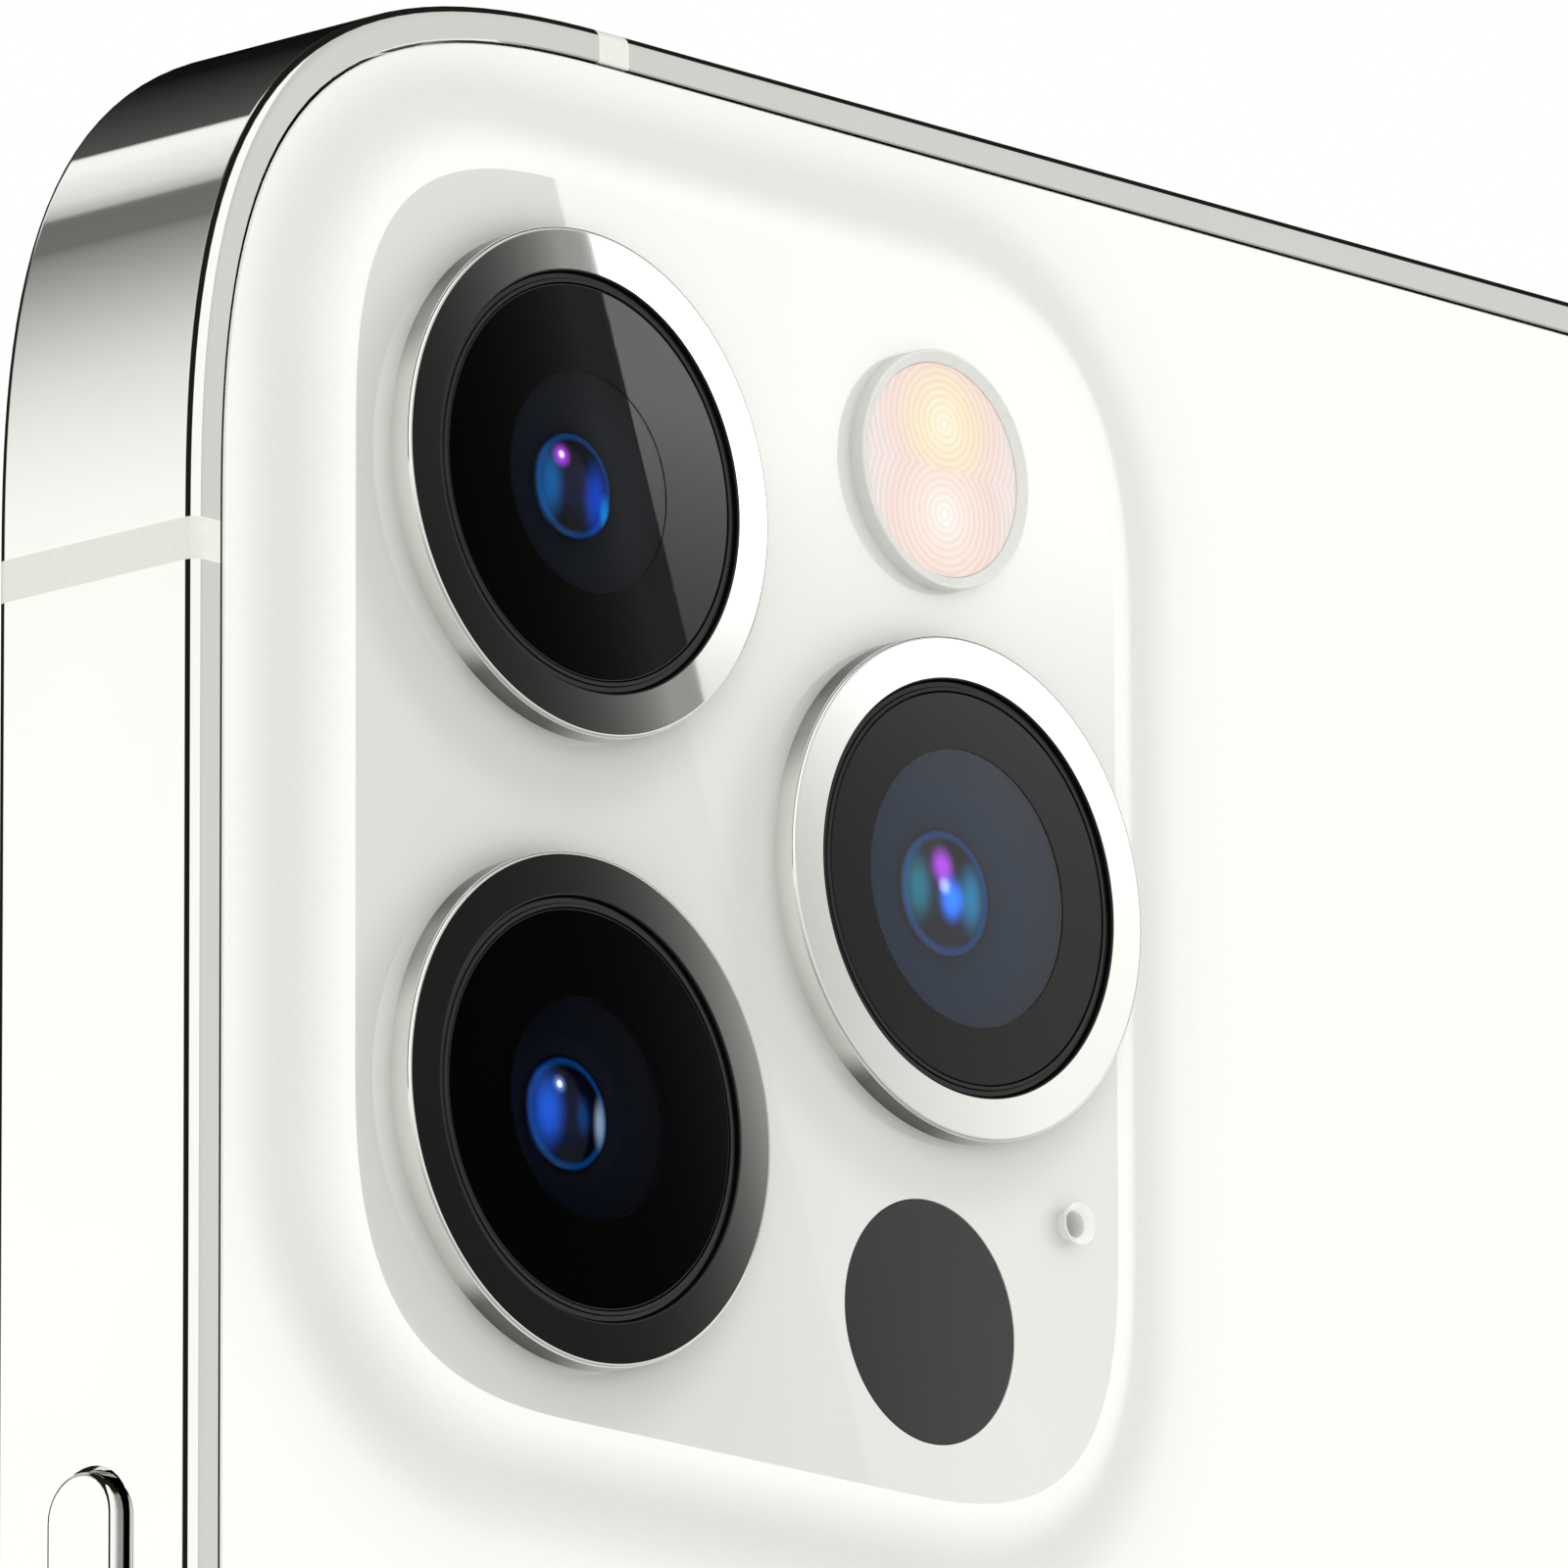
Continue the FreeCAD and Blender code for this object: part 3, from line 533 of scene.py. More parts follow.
def ribbed_flash(x, z):
    """Clear ribbed flash lens over two lamps, one warmer than the other."""
    look = Look("ribbed_flash", IOR=1.5, Roughness=0.12)
    lamp_offset = 1.25
    rib_pitch = 0.21
    spread_r = 2.6
    upper = look.around(x, z + lamp_offset)
    lower = look.around(x, z - lamp_offset)
    nearest = look.math("MINIMUM", upper, lower)
    ribs = look.math("SINE", look.math("MULTIPLY", nearest, 2 * math.pi / rib_pitch))
    warm = look.ramp(look.math("DIVIDE", upper, spread_r), [
        (0.0, (1.0, 0.95, 0.78)), (0.35, (1.0, 0.86, 0.62)),
        (0.75, (0.95, 0.76, 0.69)), (1.0, (0.93, 0.80, 0.78))])
    pink = look.ramp(look.math("DIVIDE", lower, spread_r), [
        (0.0, (1.0, 0.98, 0.95)), (0.35, (1.0, 0.84, 0.75)),
        (0.75, (0.95, 0.76, 0.71)), (1.0, (0.93, 0.81, 0.80))])
    which = look.spread(look.axis("Z"), (z - 0.3) * MM, (z + 0.3) * MM, 0, 1, "SMOOTHSTEP")
    # painted shading: the tone is lighter and darker along the ribs
    tone = look.spread(ribs, -1, 1, 0.88, 0.98)
    look.set("Base Color", look.scaled(look.mixed(which, pink, warm), tone))
    look.bump(ribs, 0.008)
    return look.material


steel = polished_steel("polished_steel")
seal = speckled("seal_black", (0.004, 0.004, 0.004), 0.8, 0.30, 0.2, 0.0001)
band_plastic = speckled("band_plastic", (0.80, 0.795, 0.75), 0.2, 0.32, 0.02, 0.0005)
pane_glass = clear_glass("pane_glass", 1.5, (0.98, 0.985, 1.0))
pane_coat = clear_glass("pane_coating", 1.0, (0.97, 0.98, 1.0))


# ---------------------------------------------------------------- frame band and antenna bands
def frame_tube(name):
    rear = REAR_Y - EDGE_ROUND
    front = FRONT_Y + EDGE_ROUND
    nick = 0.04
    profile = [(LIP, BACK_SEAT_Y), (LIP, REAR_Y - nick), (LIP - nick, REAR_Y)]
    profile += [(EDGE_ROUND - u, v) for u, v in arc(0, rear, EDGE_ROUND, 90, 0, 14)]
    profile += [(EDGE_ROUND - u, v) for u, v in arc(0, front, EDGE_ROUND, 0, -90, 14)]
    profile += [(LIP - nick, FRONT_Y), (LIP, FRONT_Y + nick), (LIP, FRONT_SEAT_Y), (WALL, FRONT_SEAT_Y),
                (WALL, BACK_SEAT_Y)]
    return loft(name, [body_loop(inset, y) for inset, y in profile], cyclic=True)


def band_blocks():
    half = BAND_WIDTH / 2
    deep = HALF_W - BAND_DEPTH
    out = HALF_W + 1
    blocks = []
    y = BAND_REACH_Y
    for z in (HEIGHT - SIDE_BAND, SIDE_BAND):
        blocks.append(((deep, -y, z - half), (out, y, z + half)))
        blocks.append(((-out, -y, z - half), (-deep, y, z + half)))
    x = HALF_W - END_BAND
    blocks.append(((x - half, -y, HEIGHT - BAND_DEPTH), (x + half, y, HEIGHT + 1)))
    blocks.append(((-x - half, -y, -1), (-x + half, y, BAND_DEPTH)))
    return [block("band", low, high) for low, high in blocks]


def flared(name, loop_at, mouth, side, inner, chamfer=0.10):
    """Cutter with a small chamfer at the mouth. loop_at(level, grow) gives the loop at a level."""
    levels = [(inner, 0.0), (mouth - side * chamfer, 0.0), (mouth + side * 1.0, chamfer + 1.0)]
    return loft(name, [loop_at(level, grow) for level, grow in levels])


def side_slot(side, z, length, width, chamfer, inner=33.5):
    return flared("slot", lambda level, grow: pill_loop(level, z, length, width, grow),
                  side * HALF_W, side, side * inner, chamfer)


def key_cutters():
    """Slots and pockets for the keys, and slots for the switch and the tray."""
    cutters = []
    for node, side in (("side_button", 1), ("volume_up_button", -1), ("volume_down_button", -1)):
        z = centre_of(node)[1]
        length = height_of(node) - 2 * KEY_END_HIDDEN + 2 * KEY_GAP
        cutters.append(side_slot(side, z, length, KEY_WIDTH + 2 * KEY_GAP, 0.10))
        cutters.append(loft("pocket", [pill_loop(side * x, z, length + 2.36, 3.6) for x in (33.0, 34.5)]))
    cutters.append(side_slot(-1, centre_of("ring_switch")[1], 5.6, KEY_WIDTH, 0.12))
    z = centre_of("sim_tray")[1]
    cutters.append(side_slot(-1, z, height_of("sim_tray") + 0.12, KEY_WIDTH + 0.12, 0.03, inner=34.5))
    half_z = 5.35
    half_y = 0.62
    cutters.append(block("passage", (-34.6, MID_Y - half_y, z - half_z),
                         (-33.0, MID_Y + half_y, z + half_z)))
    return cutters


def round_loop(x, z_level, radius, steps=32):
    """Circle in the plane z_level."""
    turns = [2 * math.pi * i / steps for i in range(steps)]
    return [(x + radius * math.cos(a), MID_Y + radius * math.sin(a), z_level) for a in turns]


def hole_cutter(x, radius, depth):
    return flared("hole", lambda level, grow: round_loop(x, level, radius + grow), 0, -1, depth, 0.05)


def bottom_cutters():
    """Port, six sound holes on the +X side and three on the other, and the two screw seats."""
    port_length = 8.9
    port_width = 3.35
    first_x = 10.6
    pitch = 2.05
    hole_r = 0.72
    screw_x = 6.95
    screw_r = 0.93
    shaft_r = 0.6
    cutters = [flared("port", lambda level, grow: flat_pill_loop(level, port_length, port_width, grow),
                      0, -1, 3, 0.15)]
    for side, count in ((1, 6), (-1, 3)):
        cutters += [hole_cutter(side * (first_x + pitch * i), hole_r, 3.0) for i in range(count)]
    cutters += [hole_cutter(x, screw_r, 1.0) for x in (-screw_x, screw_x)]
    for x in (-screw_x, screw_x):
        cutters.append(loft("shaft", [round_loop(x, level, shaft_r) for level in (0.5, 3.0)]))
    return cutters


band = frame_tube("frame_steel")
antennas = copy_of(band, "antenna_plastic")
blocks = band_blocks()
joined = blocks[0]
for other in blocks[1:]:
    cut(joined, [other], "UNION")
cut(antennas, [copy_of(joined, "keep")], "INTERSECT")
cut(band, [joined])
cut(band, key_cutters())
cut(band, bottom_cutters())
piece(band, ["frame_band"], [steel])
piece(antennas, ["antenna_bands"], [band_plastic])


# ---------------------------------------------------------------- rear glass
def fall(t):
    """Smooth step with flat ends in slope and curvature."""
    return t * t * t * (10 - 15 * t + 6 * t * t)


def plateau_loop(t):
    grow = 2 * PLATEAU_BLEND * t
    return rounded_loop(PLATEAU_X, PLATEAU_Z, PLATEAU_W + grow, PLATEAU_H + grow,
                        PLATEAU_CORNER + PLATEAU_BLEND * t * CORNER_SHRINK,
                        PLATEAU_Y - (PLATEAU_Y - REAR_Y) * fall(t))


def plug(x, z, radius, segments=192):
    return turned_disc("plug", x, z, [(radius, BACK_SEAT_Y - 1), (radius, PLATEAU_Y + 1)], segments)


def rear_glass():
    inset = LIP + GLASS_GAP
    edge = 0.05
    steps = 28
    loops = [body_loop(inset, BACK_SEAT_Y), body_loop(inset, REAR_Y - edge), body_loop(inset + edge, REAR_Y)]
    loops += [plateau_loop(1 - i / steps) for i in range(steps + 1)]
    obj = loft("rear_glass", loops)
    obj.data.materials.append(frosted_glass())
    obj.data.materials.append(gloss_glass())
    obj.data.materials.append(seal)
    for face in obj.data.polygons:
        if face.area > 1e-4 and abs(face.center.y - PLATEAU_Y * MM) < 1e-7:
            face.material_index = 1
        # edge faces below the chamfer take the black seal, like an adhesive line and also as painted shade
        # that deepens the gap
        if abs(face.normal.y) < 0.1 and face.center.y < (REAR_Y - edge) * MM:
            face.material_index = 2
    holes = [plug(*centre_of("lens_ring_" + name), SLEEVE_R) for name in CAMERAS]
    holes.append(plug(*centre_of("flash_rim"), radius_of("flash_rim")))
    holes.append(plug(*centre_of("range_window"), radius_of("range_window") + 0.02))
    holes.append(plug(*centre_of("rear_mic_tube"), 0.42, 64))
    cut(obj, holes)
    return piece(obj, ["back_glass"], [])


rear_glass()


# ---------------------------------------------------------------- cameras
# painted reflections on a ring's wall: its tone by angle round its axis
PAINTED_WALL_REFLECTIONS = (
    (-180, 0.55), (-100, 0.70), (-78, 0.16), (-58, 0.22), (-48, 0.85), (-20, 0.97), (12, 0.90),
    (30, 0.45), (48, 0.16), (75, 0.20), (95, 0.60), (180, 0.55))
# the barrels stop this far below the cover's face, to clear the panes at full focus travel
BARREL_MOUTH = 0.72
PRINT_T = 0.02
PANE_T = 0.38
DOME_ANGLE = 1.2
DOME_RISE = 0.22
DOME_STEPS = 14


def lens_ring(name):
    """Steel ring: bright face, outer wall with painted reflection streaks, and black bore."""
    x, z = centre_of("lens_ring_" + name)
    bevel = RING_R - RING_FACE_R
    profile = [(RING_BORE_R, BACK_SEAT_Y), (SLEEVE_R, BACK_SEAT_Y), (SLEEVE_R, PLATEAU_Y),
               (RING_R, PLATEAU_Y)]
    profile += arc(RING_R - bevel, RING_Y - bevel, bevel, 0, 90, 8)
    profile += arc(RING_BORE_R + 0.05, RING_Y - 0.05, 0.05, 90, 180, 4)
    obj = lathe("ring_" + name, x, z, profile, 360)

    # painted reflections: the wall's tone follows the angle round the ring
    def painted_reflections(look):
        dx = look.math("SUBTRACT", look.axis("X"), x * MM)
        dz = look.math("SUBTRACT", look.axis("Z"), z * MM)
        stops = [((angle + 180) / 360, (tone, tone, tone * 0.97)) for angle, tone in PAINTED_WALL_REFLECTIONS]
        return look.ramp(look.turn(dx, dz), stops, "EASE")

    wall = steel_with_painted_light("ring_wall_" + name, painted_reflections)
    for face in obj.data.polygons:
        reach = math.hypot(face.center.x - x * MM, face.center.z - z * MM)
        if reach < (RING_BORE_R + 0.05) * MM:
            face.material_index = 2
        elif abs(face.normal.y) < 0.05 and face.center.y > PLATEAU_Y * MM and reach > RING_FACE_R * MM:
            face.material_index = 1
    return piece(obj, ["lens_ring_" + name], [steel, wall, seal], crease=40)


def gasket(name, x, z):
    """Black stepped seal between the ring's bore and the cover glass."""
    profile = [(RING_BORE_R, COVER_Y - 0.9), (RING_BORE_R, COVER_Y - 0.10),
               (RING_BORE_R - 0.06, COVER_Y - 0.05), (COVER_R + 0.17, COVER_Y - 0.04),
               (COVER_R + 0.14, COVER_Y + 0.01), (COVER_R + 0.05, COVER_Y + 0.02),
               (COVER_R + 0.02, COVER_Y - 0.05), (COVER_R + 0.02, COVER_Y - 0.9)]
    return lathe("gasket_" + name, x, z, profile, 320)


def cover(name, x, z, window):
    """Cover glass: a black printed mask with a clear pane under it. Only the pane's top face refracts."""
    print_y = COVER_Y - PRINT_T
    ior = 1.38 if name == "side" else 1.5
    profile = [(window, print_y), (COVER_R, print_y), (COVER_R, print_y + PRINT_T / 2),
               (COVER_R - 0.03, COVER_Y), (window, COVER_Y)]
    mask = lathe("mask_" + name, x, z, profile)
    look = black_glass("mask_" + name, (0.0006, 0.0006, 0.0006), 0.006, ior)
    piece(mask, ["cover_glass_" + name], [look])
    pane_r = COVER_R - 0.05
    pane = turned_disc("pane_" + name, x, z, [(pane_r, COVER_Y - PANE_T), (pane_r, print_y - 0.002)])
    for face in pane.data.polygons:
        face.material_index = 0 if face.normal.y > 0.5 else 1
    piece(pane, ["cover_glass_" + name], [pane_glass, pane_coat])


def camera(name, window, element_r, depth, tunnel, spots):
    """Cover glass, the barrel's tunnel and the front element with its painted glowing reflections."""
    x, z = centre_of("cover_glass_" + name)
    body = FOCUS_BODIES.get(name, PHONE)
    cover(name, x, z, window)
    seat = RING_Y - depth
    mouth = COVER_Y - BARREL_MOUTH
    profile = [(element_r - 0.05, seat - 0.8), (window + 0.5, seat - 0.8), (window + 0.5, mouth),
               (window + 0.1, mouth), (element_r + 0.55, seat - 0.05), (element_r + 0.32, seat - 0.12),
               (element_r + 0.02, seat - 0.28), (element_r - 0.05, seat - 0.5)]
    barrel = lathe("barrel_" + name, x, z, profile)
    look = tunnel_black("tunnel_" + name, x, z, window, tunnel)
    piece(barrel, ["lens_barrel_" + name], [look], body)
    profile = [(element_r, seat - DOME_RISE - 0.15)]
    for i in range(DOME_STEPS):
        a = DOME_ANGLE * (1 - i / DOME_STEPS)
        drop = (1 - math.cos(a)) / (1 - math.cos(DOME_ANGLE))
        profile.append((element_r * math.sin(a) / math.sin(DOME_ANGLE), seat - DOME_RISE * drop))
    element = turned_disc("element_" + name, x, z, profile + [(0.02, seat)], 128)
    piece(element, ["lens_element_" + name],
          [element_with_painted_glints("element_" + name, x, z, element_r, spots)], body, 60)


gaskets = [gasket(name, *centre_of("lens_ring_" + name)) for name in CAMERAS]
for name in CAMERAS:
    lens_ring(name)
for obj in gaskets:
    piece(obj, ["lens_gaskets"], [seal], crease=25)

# painted reflections on the elements, as glowing spots; offsets and sizes are parts of the element's radius:
# across, up, size, narrowing, colour
DEEP = (0.0005, 0.002, 0.014)
BLUE = (0.001, 0.030, 0.30)
CORE = (0.010, 0.16, 0.95)
TEAL = (0.0, 0.10, 0.15)
VIOLET = (0.30, 0.03, 0.55)
GLINT = (0.75, 0.70, 1.0)
camera("upper", 3.0, 1.48, 1.0, (0.0040, 0.0085, 0.0190), [
    (0.0, 0.0, 1.0, 1.0, DEEP), (0.62, -0.05, 0.95, 2.1, (0.0, 0.06, 0.20)), (-0.55, -0.15, 0.95, 2.0, BLUE),
    (-0.80, -0.35, 0.45, 2.0, (0.0, 0.10, 0.25)), (0.34, 0.50, 0.30, 1.0, VIOLET),
    (0.34, 0.52, 0.11, 1.0, GLINT)])
camera("lower", 3.0, 1.56, 1.5, (0.0035, 0.0070, 0.0190), [
    (0.0, 0.0, 1.0, 1.0, DEEP), (0.50, 0.0, 0.95, 1.7, (0.004, 0.06, 0.42)),
    (-0.78, -0.05, 0.60, 2.6, (0.14, 0.20, 0.27)), (-0.35, 0.0, 0.5, 2.0, (0.0, 0.02, 0.08)),
    (0.22, 0.48, 0.22, 1.0, (0.10, 0.16, 0.40)), (0.22, 0.48, 0.10, 1.0, (0.9, 0.95, 1.0))])
camera("side", 3.8, 1.78, 1.5, (0.0010, 0.0290, 0.0950), [
    (0.0, 0.0, 1.0, 1.0, DEEP), (0.62, 0.0, 0.75, 1.8, TEAL), (-0.55, 0.0, 0.75, 1.8, (0.0, 0.12, 0.24)),
    (-0.10, -0.08, 0.50, 1.3, CORE), (0.10, 0.40, 0.42, 1.2, VIOLET),
    (0.06, 0.10, 0.20, 1.0, (0.25, 0.30, 0.70))])


# ---------------------------------------------------------------- flash, range window, microphone
def flash():
    x, z = centre_of("flash_rim")
    outer = radius_of("flash_rim")
    inner = radius_of("flash_lens")
    top = box_mm("flash_rim")[1][1]
    profile = [(inner, BACK_SEAT_Y), (outer, BACK_SEAT_Y)]
    profile += arc(outer - 0.07, top - 0.07, 0.07, 0, 90, 6)
    profile += [(outer - 0.10, top), (inner + 0.02, top - 0.14), (inner, top - 0.2)]
    rim_look = speckled("flash_rim", (0.76, 0.765, 0.74), 0.3, 0.22, 0.02, 0.0004)
    piece(lathe("flash_collar", x, z, profile, 256), ["flash_rim"], [rim_look])
    crown = []
    for i in range(13):
        r = inner * (1 - i / 12) + 0.02 * (i / 12)
        crown.append((r, top - 0.17 + 0.10 * (1 - (r / inner) ** 2)))
    obj = turned_disc("flash_dome", x, z, [(inner, top - 0.8)] + crown, 192)
    piece(obj, ["flash_lens"], [ribbed_flash(x, z)], crease=50)


def range_window():
    x, z = centre_of("range_window")
    r = radius_of("range_window")
    profile = [(r, PLATEAU_Y - 0.8), (r, PLATEAU_Y - 0.02), (r - 0.02, PLATEAU_Y)]
    obj = turned_disc("range_pane", x, z, profile, 256)
    look = black_glass("range_glass", (0.016, 0.0165, 0.018), 0.05)
    piece(obj, ["range_window"], [look])


def mic_tube():
    x, z = centre_of("rear_mic_tube")
    top = box_mm("rear_mic_tube")[1][1]
    mouth = radius_of("rear_mic_tube")
    profile = [(0.36, BACK_SEAT_Y), (0.42, BACK_SEAT_Y), (0.42, top - 0.22)]
    profile += [(mouth - 0.18 + 0.18 * math.sin(a), top - 0.03 - 0.19 * math.cos(a))
                for a in [math.pi / 2 * i / 6 for i in range(7)]]
    profile += [(mouth - 0.02, top), (mouth - 0.05, top - 0.02), (0.38, top - 0.2), (0.36, top - 0.24)]
    obj = lathe("mic_tube", x, z, profile, 96)
    look = speckled("mic_white", (0.93, 0.935, 0.91), 0.2, 0.2, 0.02, 0.0004)
    piece(obj, ["rear_mic_tube"], [look], crease=50)


flash()
range_window()
mic_tube()


# ---------------------------------------------------------------- keys
def key(node, side, body):
    """Key cap: a flange behind the frame and a rounded face."""
    low, high = box_mm(node)
    z = centre_of(node)[1]
    length = height_of(node) - 2 * KEY_END_HIDDEN
    outer_x = max(abs(low[0]), abs(high[0]))
    radius = 0.14
    loops = [pill_loop(side * x, z, length + 2 * KEY_END_HIDDEN, KEY_FLANGE_W) for x in KEY_FLANGE_X]
    loops.append(pill_loop(side * KEY_FLANGE_X[1], z, length, KEY_WIDTH))
    for u, v in arc(outer_x - radius, -radius, radius, 90, 0, 7):
        loops.append(pill_loop(side * u, z, length, KEY_WIDTH, v))
    obj = loft(node + "_cap", loops)
    # the rear-facing walls take a darker copy of the steel, painted shade
    for face in obj.data.polygons:
        if abs(face.normal.x) < 0.05 and face.normal.y > 0.75:
            face.material_index = 1
    piece(obj, [node], [steel, key_wall_painted_shade], body)


# painted shade: darker steel for the keys' rear-facing walls
key_wall_painted_shade = steel_with_painted_light("key_wall_painted_shade", lambda look: look.ramp(look.noise(0.8), [
    (0.3, (0.52, 0.52, 0.50)), (0.7, (0.58, 0.58, 0.56))]))
key("side_button", 1, "side_key")
key("volume_up_button", -1, "volume_up_key")
key("volume_down_button", -1, "volume_down_key")


# ---------------------------------------------------------------- display side
def display_look():
    """Black glass whose lit area is a shade apart from the border and the notch."""
    look = Look("display_glass", IOR=1.5)
    margin = 3.3
    notch_half = 17.3
    notch_depth = 7.0
    across = look.math("ABSOLUTE", look.axis("X"))
    up = look.math("ABSOLUTE", look.math("SUBTRACT", look.axis("Z"), HEIGHT / 2 * MM))
    inside_x = look.math("LESS_THAN", across, (HALF_W - margin) * MM)
    inside_z = look.math("LESS_THAN", up, (HEIGHT / 2 - margin) * MM)
    notch = look.math("MULTIPLY", look.math("LESS_THAN", across, notch_half * MM),
                      look.math("GREATER_THAN", look.axis("Z"), (HEIGHT - notch_depth) * MM))
    lit = look.math("MULTIPLY", look.math("MULTIPLY", inside_x, inside_z), look.math("SUBTRACT", 1.0, notch))
    look.set("Base Color", look.ramp(lit, [(0.0, (0.003, 0.003, 0.003)), (1.0, (0.009, 0.009, 0.010))]))
    look.set("Roughness", look.spread(look.noise(8), 0.3, 0.7, 0.02, 0.04))
    return look.material


def display():
    """Front glass with rounded edges and the earpiece slot."""
    inset = LIP + GLASS_GAP
    edge = 0.12
    gap = 0.03
    loops = [body_loop(inset, box_mm("display_glass")[1][1]), body_loop(inset, FRONT_Y + edge)]
    loops += [body_loop(inset + edge + u, FRONT_Y + edge + v) for u, v in arc(0, 0, edge, 180, 270, 6)][1:]
    obj = loft("display_pane", loops)
    z = centre_of("earpiece_mesh")[1]
    half = radius_of("earpiece_mesh") + gap
    r = height_of("earpiece_mesh") / 2 + gap
    ring = []
    for centre, start in ((half - r, -90), (r - half, 90)):
        ring += arc(centre, z, r, start, start + 180, 12)
    cut(obj, [loft("slot", [[(u, y, v) for u, v in ring] for y in (FRONT_Y - 1, FRONT_Y + 2)])])
    piece(obj, ["display_glass"], [display_look()])


display()


# ---------------------------------------------------------------- CAD nodes that stay
def stay(material, *nodes):
    """Gives CAD nodes whose shape is right a better material."""
    for node in nodes:
        for slot in frame["nodes"][node].material_slots:
            slot.material = material


inner_steel = speckled("inner_steel", (0.45, 0.45, 0.44), 0.15, 0.35, 0.10, 0.001, Metallic=1.0)
module_black = speckled("module_black", (0.02, 0.02, 0.021), 0.2, 0.5)
stay(steel, "ring_switch", "sim_tray")
stay(inner_steel, "mid_plate", "camera_bracket", "side_button_contact", "volume_contacts", "sim_reader",
     "board_shields", "board_screws", "haptic_housing", "charge_port", "bottom_screws")
stay(module_black, "earpiece_speaker", "front_camera", "front_sensors", "camera_housing_upper",
     "camera_housing_lower", "camera_housing_side", "range_module", "rear_mic_module", "bottom_speaker",
     "main_chip", "battery", "display_panel", "display_gasket", "ring_switch_base")
stay(speckled("woven_mesh", (0.05, 0.05, 0.052), 0.12, 0.5, 0.5, 0.02), "earpiece_mesh", "bottom_meshes")
stay(speckled("board_green", (0.01, 0.06, 0.03), 0.5, 0.4, 0.3), "logic_board")
stay(speckled("coil_copper", (0.60, 0.28, 0.14), 0.3, 0.35, 0.2, Metallic=1.0), "wireless_coil")
stay(speckled("magnet_nickel", (0.42, 0.41, 0.39), 0.3, 0.35, 0.1, Metallic=1.0), "alignment_magnets")
stay(speckled("contact_gold", (0.75, 0.52, 0.20), 0.2, 0.25, 0.1, Metallic=1.0), "port_contacts")
stay(speckled("flex_film", (0.15, 0.07, 0.02), 0.4, 0.4, 0.2), "bottom_flex")
stay(speckled("phosphor", (0.85, 0.62, 0.18), 0.2, 0.6, 0.1), "flash_leds")
stay(speckled("tungsten", (0.20, 0.20, 0.21), 0.3, 0.4, 0.1, Metallic=1.0), "haptic_mass")


# ---------------------------------------------------------------- camera
VIEW_DIRECTION = Vector((0.70775439, 0.6653925, -0.2373532))
VIEW_RIGHT = Vector((-0.68556494, 0.72800361, -0.00338508))
# from the corner of the rear edges to the camera, in mm
VIEW_OFFSET = Vector((407.373, 404.087, -163.781))
LENS_MM = 520.5
camera_data = bpy.data.cameras.new("camera")
camera_data.lens = LENS_MM
camera_data.sensor_width = 36
camera_data.clip_start = 0.01
viewer = bpy.data.objects.new("camera", camera_data)
bpy.context.scene.collection.objects.link(viewer)
back = VIEW_DIRECTION.normalized()
right = (VIEW_RIGHT - back * VIEW_RIGHT.dot(back)).normalized()
up = back.cross(right)
place = (Vector((HALF_W, REAR_Y, HEIGHT)) + VIEW_OFFSET) * MM
viewer.matrix_world = Matrix.Translation(place) @ Matrix((right, up, back)).transposed().to_4x4()
bpy.context.scene.camera = viewer


# ---------------------------------------------------------------- light
FILL = (1.0, 1.0, 0.985)


def world():
    """White studio whose strips show in the steel: tone runs round the Y axis, with a dark edge ring."""
    made = bpy.data.worlds.new("studio")
    bpy.context.scene.world = made
    made.use_nodes = True
    look = Nodes(made.node_tree, "Generated")
    x, y, z = (look.axis(name) for name in "XYZ")
    turn = look.turn(x, z)

    def stops(pairs):
        return [((angle + 180) / 360, (tone * 0.995, tone, tone * 0.97)) for angle, tone in pairs]

    sides = look.ramp(turn, stops([
        (-180, 0.55), (-60, 0.95), (10, 1.08), (18, 1.06), (22, 0.96), (27, 0.86), (33, 0.73), (41, 0.53),
        (46, 0.42), (51, 0.32), (56, 0.23), (57, 0.16), (66, 0.15), (67, 0.42), (72, 0.72), (84, 0.95),
        (88.5, 0.95), (89.5, 0.080), (105, 0.047), (120, 0.022), (132, 0.007), (160, 0.003), (166, 0.004)]))
    rear = look.ramp(turn, stops([
        (-180, 0.75), (-150, 0.95), (93, 1.02), (101, 0.56), (125, 0.63), (162, 0.67), (180, 0.75)]))
    dark = (0.012, 0.012, 0.010)
    front_part = look.math("MULTIPLY", look.spread(y, -0.86, -0.78, 0, 1, "SMOOTHSTEP"),
                           look.spread(y, -0.58, -0.42, 1, 0, "SMOOTHSTEP"))
    rear_part = look.spread(y, 0.22, 0.29, 0, 1, "SMOOTHSTEP")
    upper = look.mixed(rear_part, look.mixed(front_part, (*dark, 1), sides), rear)
    high = look.spread(z, 0.04, 0.12, 0, 1, "SMOOTHSTEP")
    below = look.ramp(look.spread(z, -0.5, 0.0, 0, 1), [
        (0.0, (0.40, 0.402, 0.395)), (1.0, (0.86, 0.865, 0.85))])
    mirrored = look.mixed(high, below, upper)
    path = look.node("LightPath").outputs
    tone = look.mixed(path["Is Diffuse Ray"], mirrored, (*FILL, 1))
    shown = look.mixed(path["Is Camera Ray"], tone, (1.0, 1.0, 1.0, 1))
    look.feed(look.tree.nodes["Background"].inputs["Color"], shown)


CARD_Y = 300.0


def reflected(from_side, from_top):
    """Where on the plane CARD_Y the viewer sees a card in the plateau's gloss at that place."""
    spot = Vector((HALF_W - from_side, PLATEAU_Y, HEIGHT - from_top)) * MM
    image = Vector((place.x, 2 * PLATEAU_Y * MM - place.y, place.z))
    ray = spot - image
    return spot + ray * ((CARD_Y - PLATEAU_Y) * MM / ray.y)


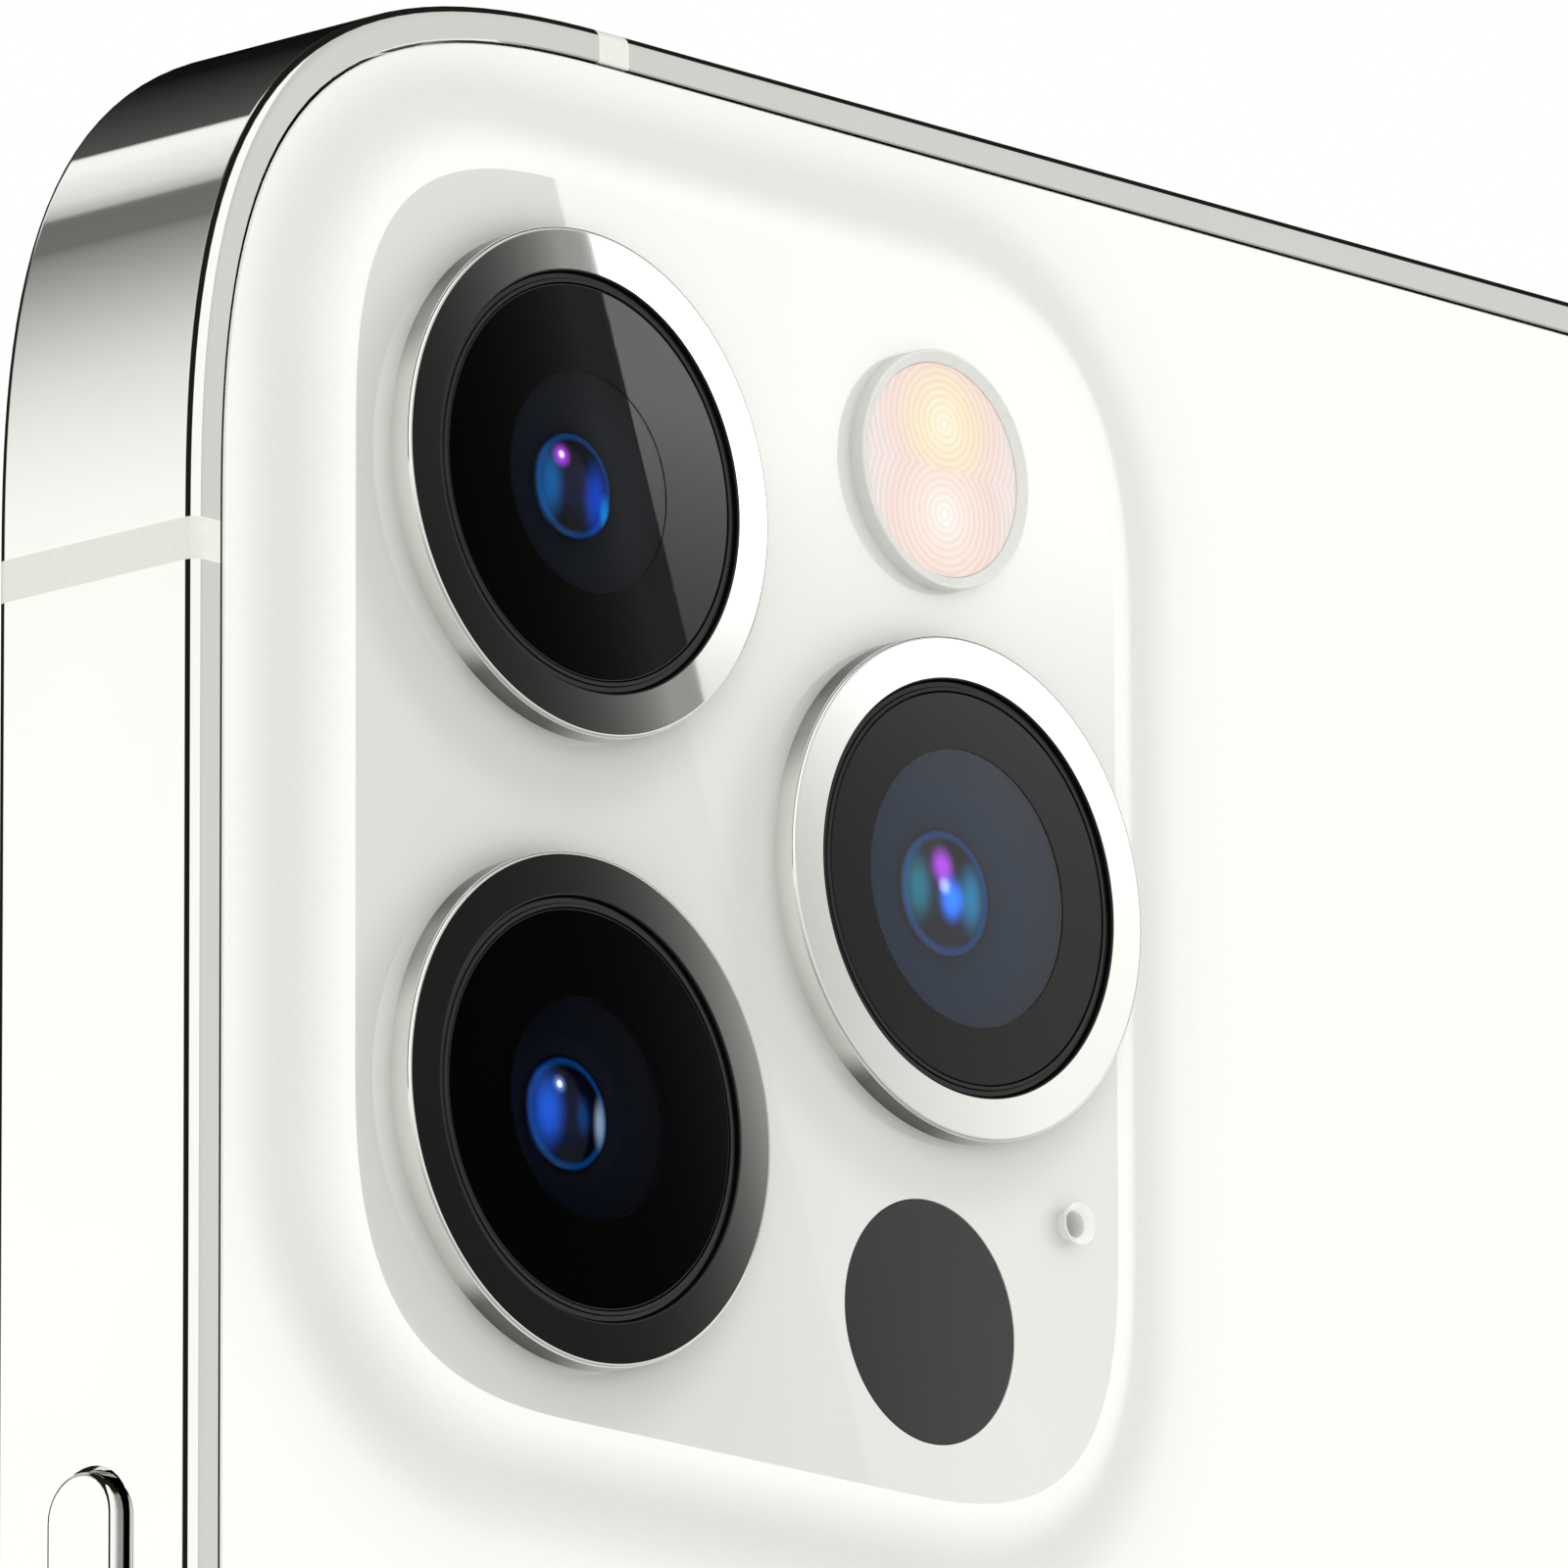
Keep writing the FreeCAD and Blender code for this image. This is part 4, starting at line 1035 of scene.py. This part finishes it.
def card(name, corners, tone_at, steps=32):
    """Card seen only in reflections. corners are plateau places, and tone_at gives its glow at a place."""
    verts = []
    glow = []
    for j in range(steps + 1):
        v = j / steps
        for i in range(steps + 1):
            u = i / steps
            weights = ((1 - u) * (1 - v), u * (1 - v), u * v, (1 - u) * v)
            a = sum(w * c[0] for w, c in zip(weights, corners))
            b = sum(w * c[1] for w, c in zip(weights, corners))
            verts.append(reflected(a, b))
            glow.append(tone_at(a, b))
    faces = []
    for j in range(steps):
        for i in range(steps):
            k = j * (steps + 1) + i
            faces.append((k, k + 1, k + steps + 2, k + steps + 1))
    mesh = bpy.data.meshes.new(name)
    mesh.from_pydata(verts, [], faces)
    layer = mesh.attributes.new("glow", "FLOAT", "POINT")
    layer.data.foreach_set("value", glow)
    obj = bpy.data.objects.new(name, mesh)
    bpy.context.scene.collection.objects.link(obj)
    material = bpy.data.materials.new(name)
    material.use_nodes = True
    nodes = material.node_tree.nodes
    nodes.clear()
    source = nodes.new("ShaderNodeAttribute")
    source.attribute_name = "glow"
    emit = nodes.new("ShaderNodeEmission")
    emit.inputs["Color"].default_value = (0.99, 1.0, 0.965, 1)
    output = nodes.new("ShaderNodeOutputMaterial")
    material.node_tree.links.new(source.outputs["Fac"], emit.inputs["Strength"])
    material.node_tree.links.new(emit.outputs[0], output.inputs["Surface"])
    mesh.materials.append(material)
    obj.visible_camera = False
    obj.visible_diffuse = False
    obj.visible_shadow = False


world()
# the diagonal between these places (from side, from top) splits the dark flag from the bright key card
EDGE_TOP = (12.71, 5.44)
EDGE_END = (24.65, 38.59)
SLOPE = (EDGE_END[0] - EDGE_TOP[0]) / (EDGE_END[1] - EDGE_TOP[1])
CARD_NEAR = 4.7
CARD_LOW = 44
CARD_FAR = 46


def on_edge(from_top, offset=0.0):
    return (EDGE_TOP[0] + (from_top - EDGE_TOP[1]) * SLOPE + offset, from_top)


STRIP = 1.5


def flag_tone(a, b):
    """Black flag that lifts towards the half-tone strip."""
    short = on_edge(b, -STRIP)[0] - a
    return 0.014 + 0.27 * math.exp(-max(0, short) / 1.9)


def strip_tone(a, b):
    """Even grey."""
    return 0.30


def key_tone(a, b):
    """Bright card: strongest near the top, softer to the lower left."""
    side = min(1, max(0, (a - 20) / 11))
    return 0.50 + 0.46 * side + min(2.0, 5.0 * math.exp(-(b / 11) ** 2))


card("flag", [(CARD_NEAR, CARD_NEAR), on_edge(CARD_NEAR, -STRIP), on_edge(CARD_LOW, -STRIP),
              (CARD_NEAR, CARD_LOW)], flag_tone)
card("half_tone", [on_edge(CARD_NEAR, -STRIP), on_edge(CARD_NEAR), on_edge(CARD_LOW),
                   on_edge(CARD_LOW, -STRIP)], strip_tone)
card("key", [on_edge(CARD_NEAR), (CARD_FAR, CARD_NEAR), (CARD_FAR, CARD_LOW), on_edge(CARD_LOW)], key_tone)

sun_data = bpy.data.lights.new("soft_key", "SUN")
sun_data.energy = 0.45
sun_data.angle = math.radians(60)
sun = bpy.data.objects.new("soft_key", sun_data)
sun.visible_glossy = False
sun.rotation_euler = Vector((-0.55, 0.70, 0.55)).to_track_quat("Z", "Y").to_euler()
bpy.context.scene.collection.objects.link(sun)


# ---------------------------------------------------------------- floor
def floor():
    """Pale round floor, set back so that it ends before the low camera."""
    centre = Vector((-0.73, -0.69)) * 1.55
    radius = 2.0
    segments = 128
    verts = [(centre.x + radius * math.cos(2 * math.pi * i / segments),
              centre.y + radius * math.sin(2 * math.pi * i / segments), 0) for i in range(segments)]
    mesh = bpy.data.meshes.new("floor")
    mesh.from_pydata(verts, [], [tuple(range(segments))])
    obj = bpy.data.objects.new("floor", mesh)
    bpy.context.scene.collection.objects.link(obj)
    mesh.materials.append(speckled("floor", (0.965, 0.965, 0.955), 8, 0.8, 0.004, 0.01))
    obj.visible_glossy = False


floor()
bpy.context.scene.view_settings.view_transform = "Standard"
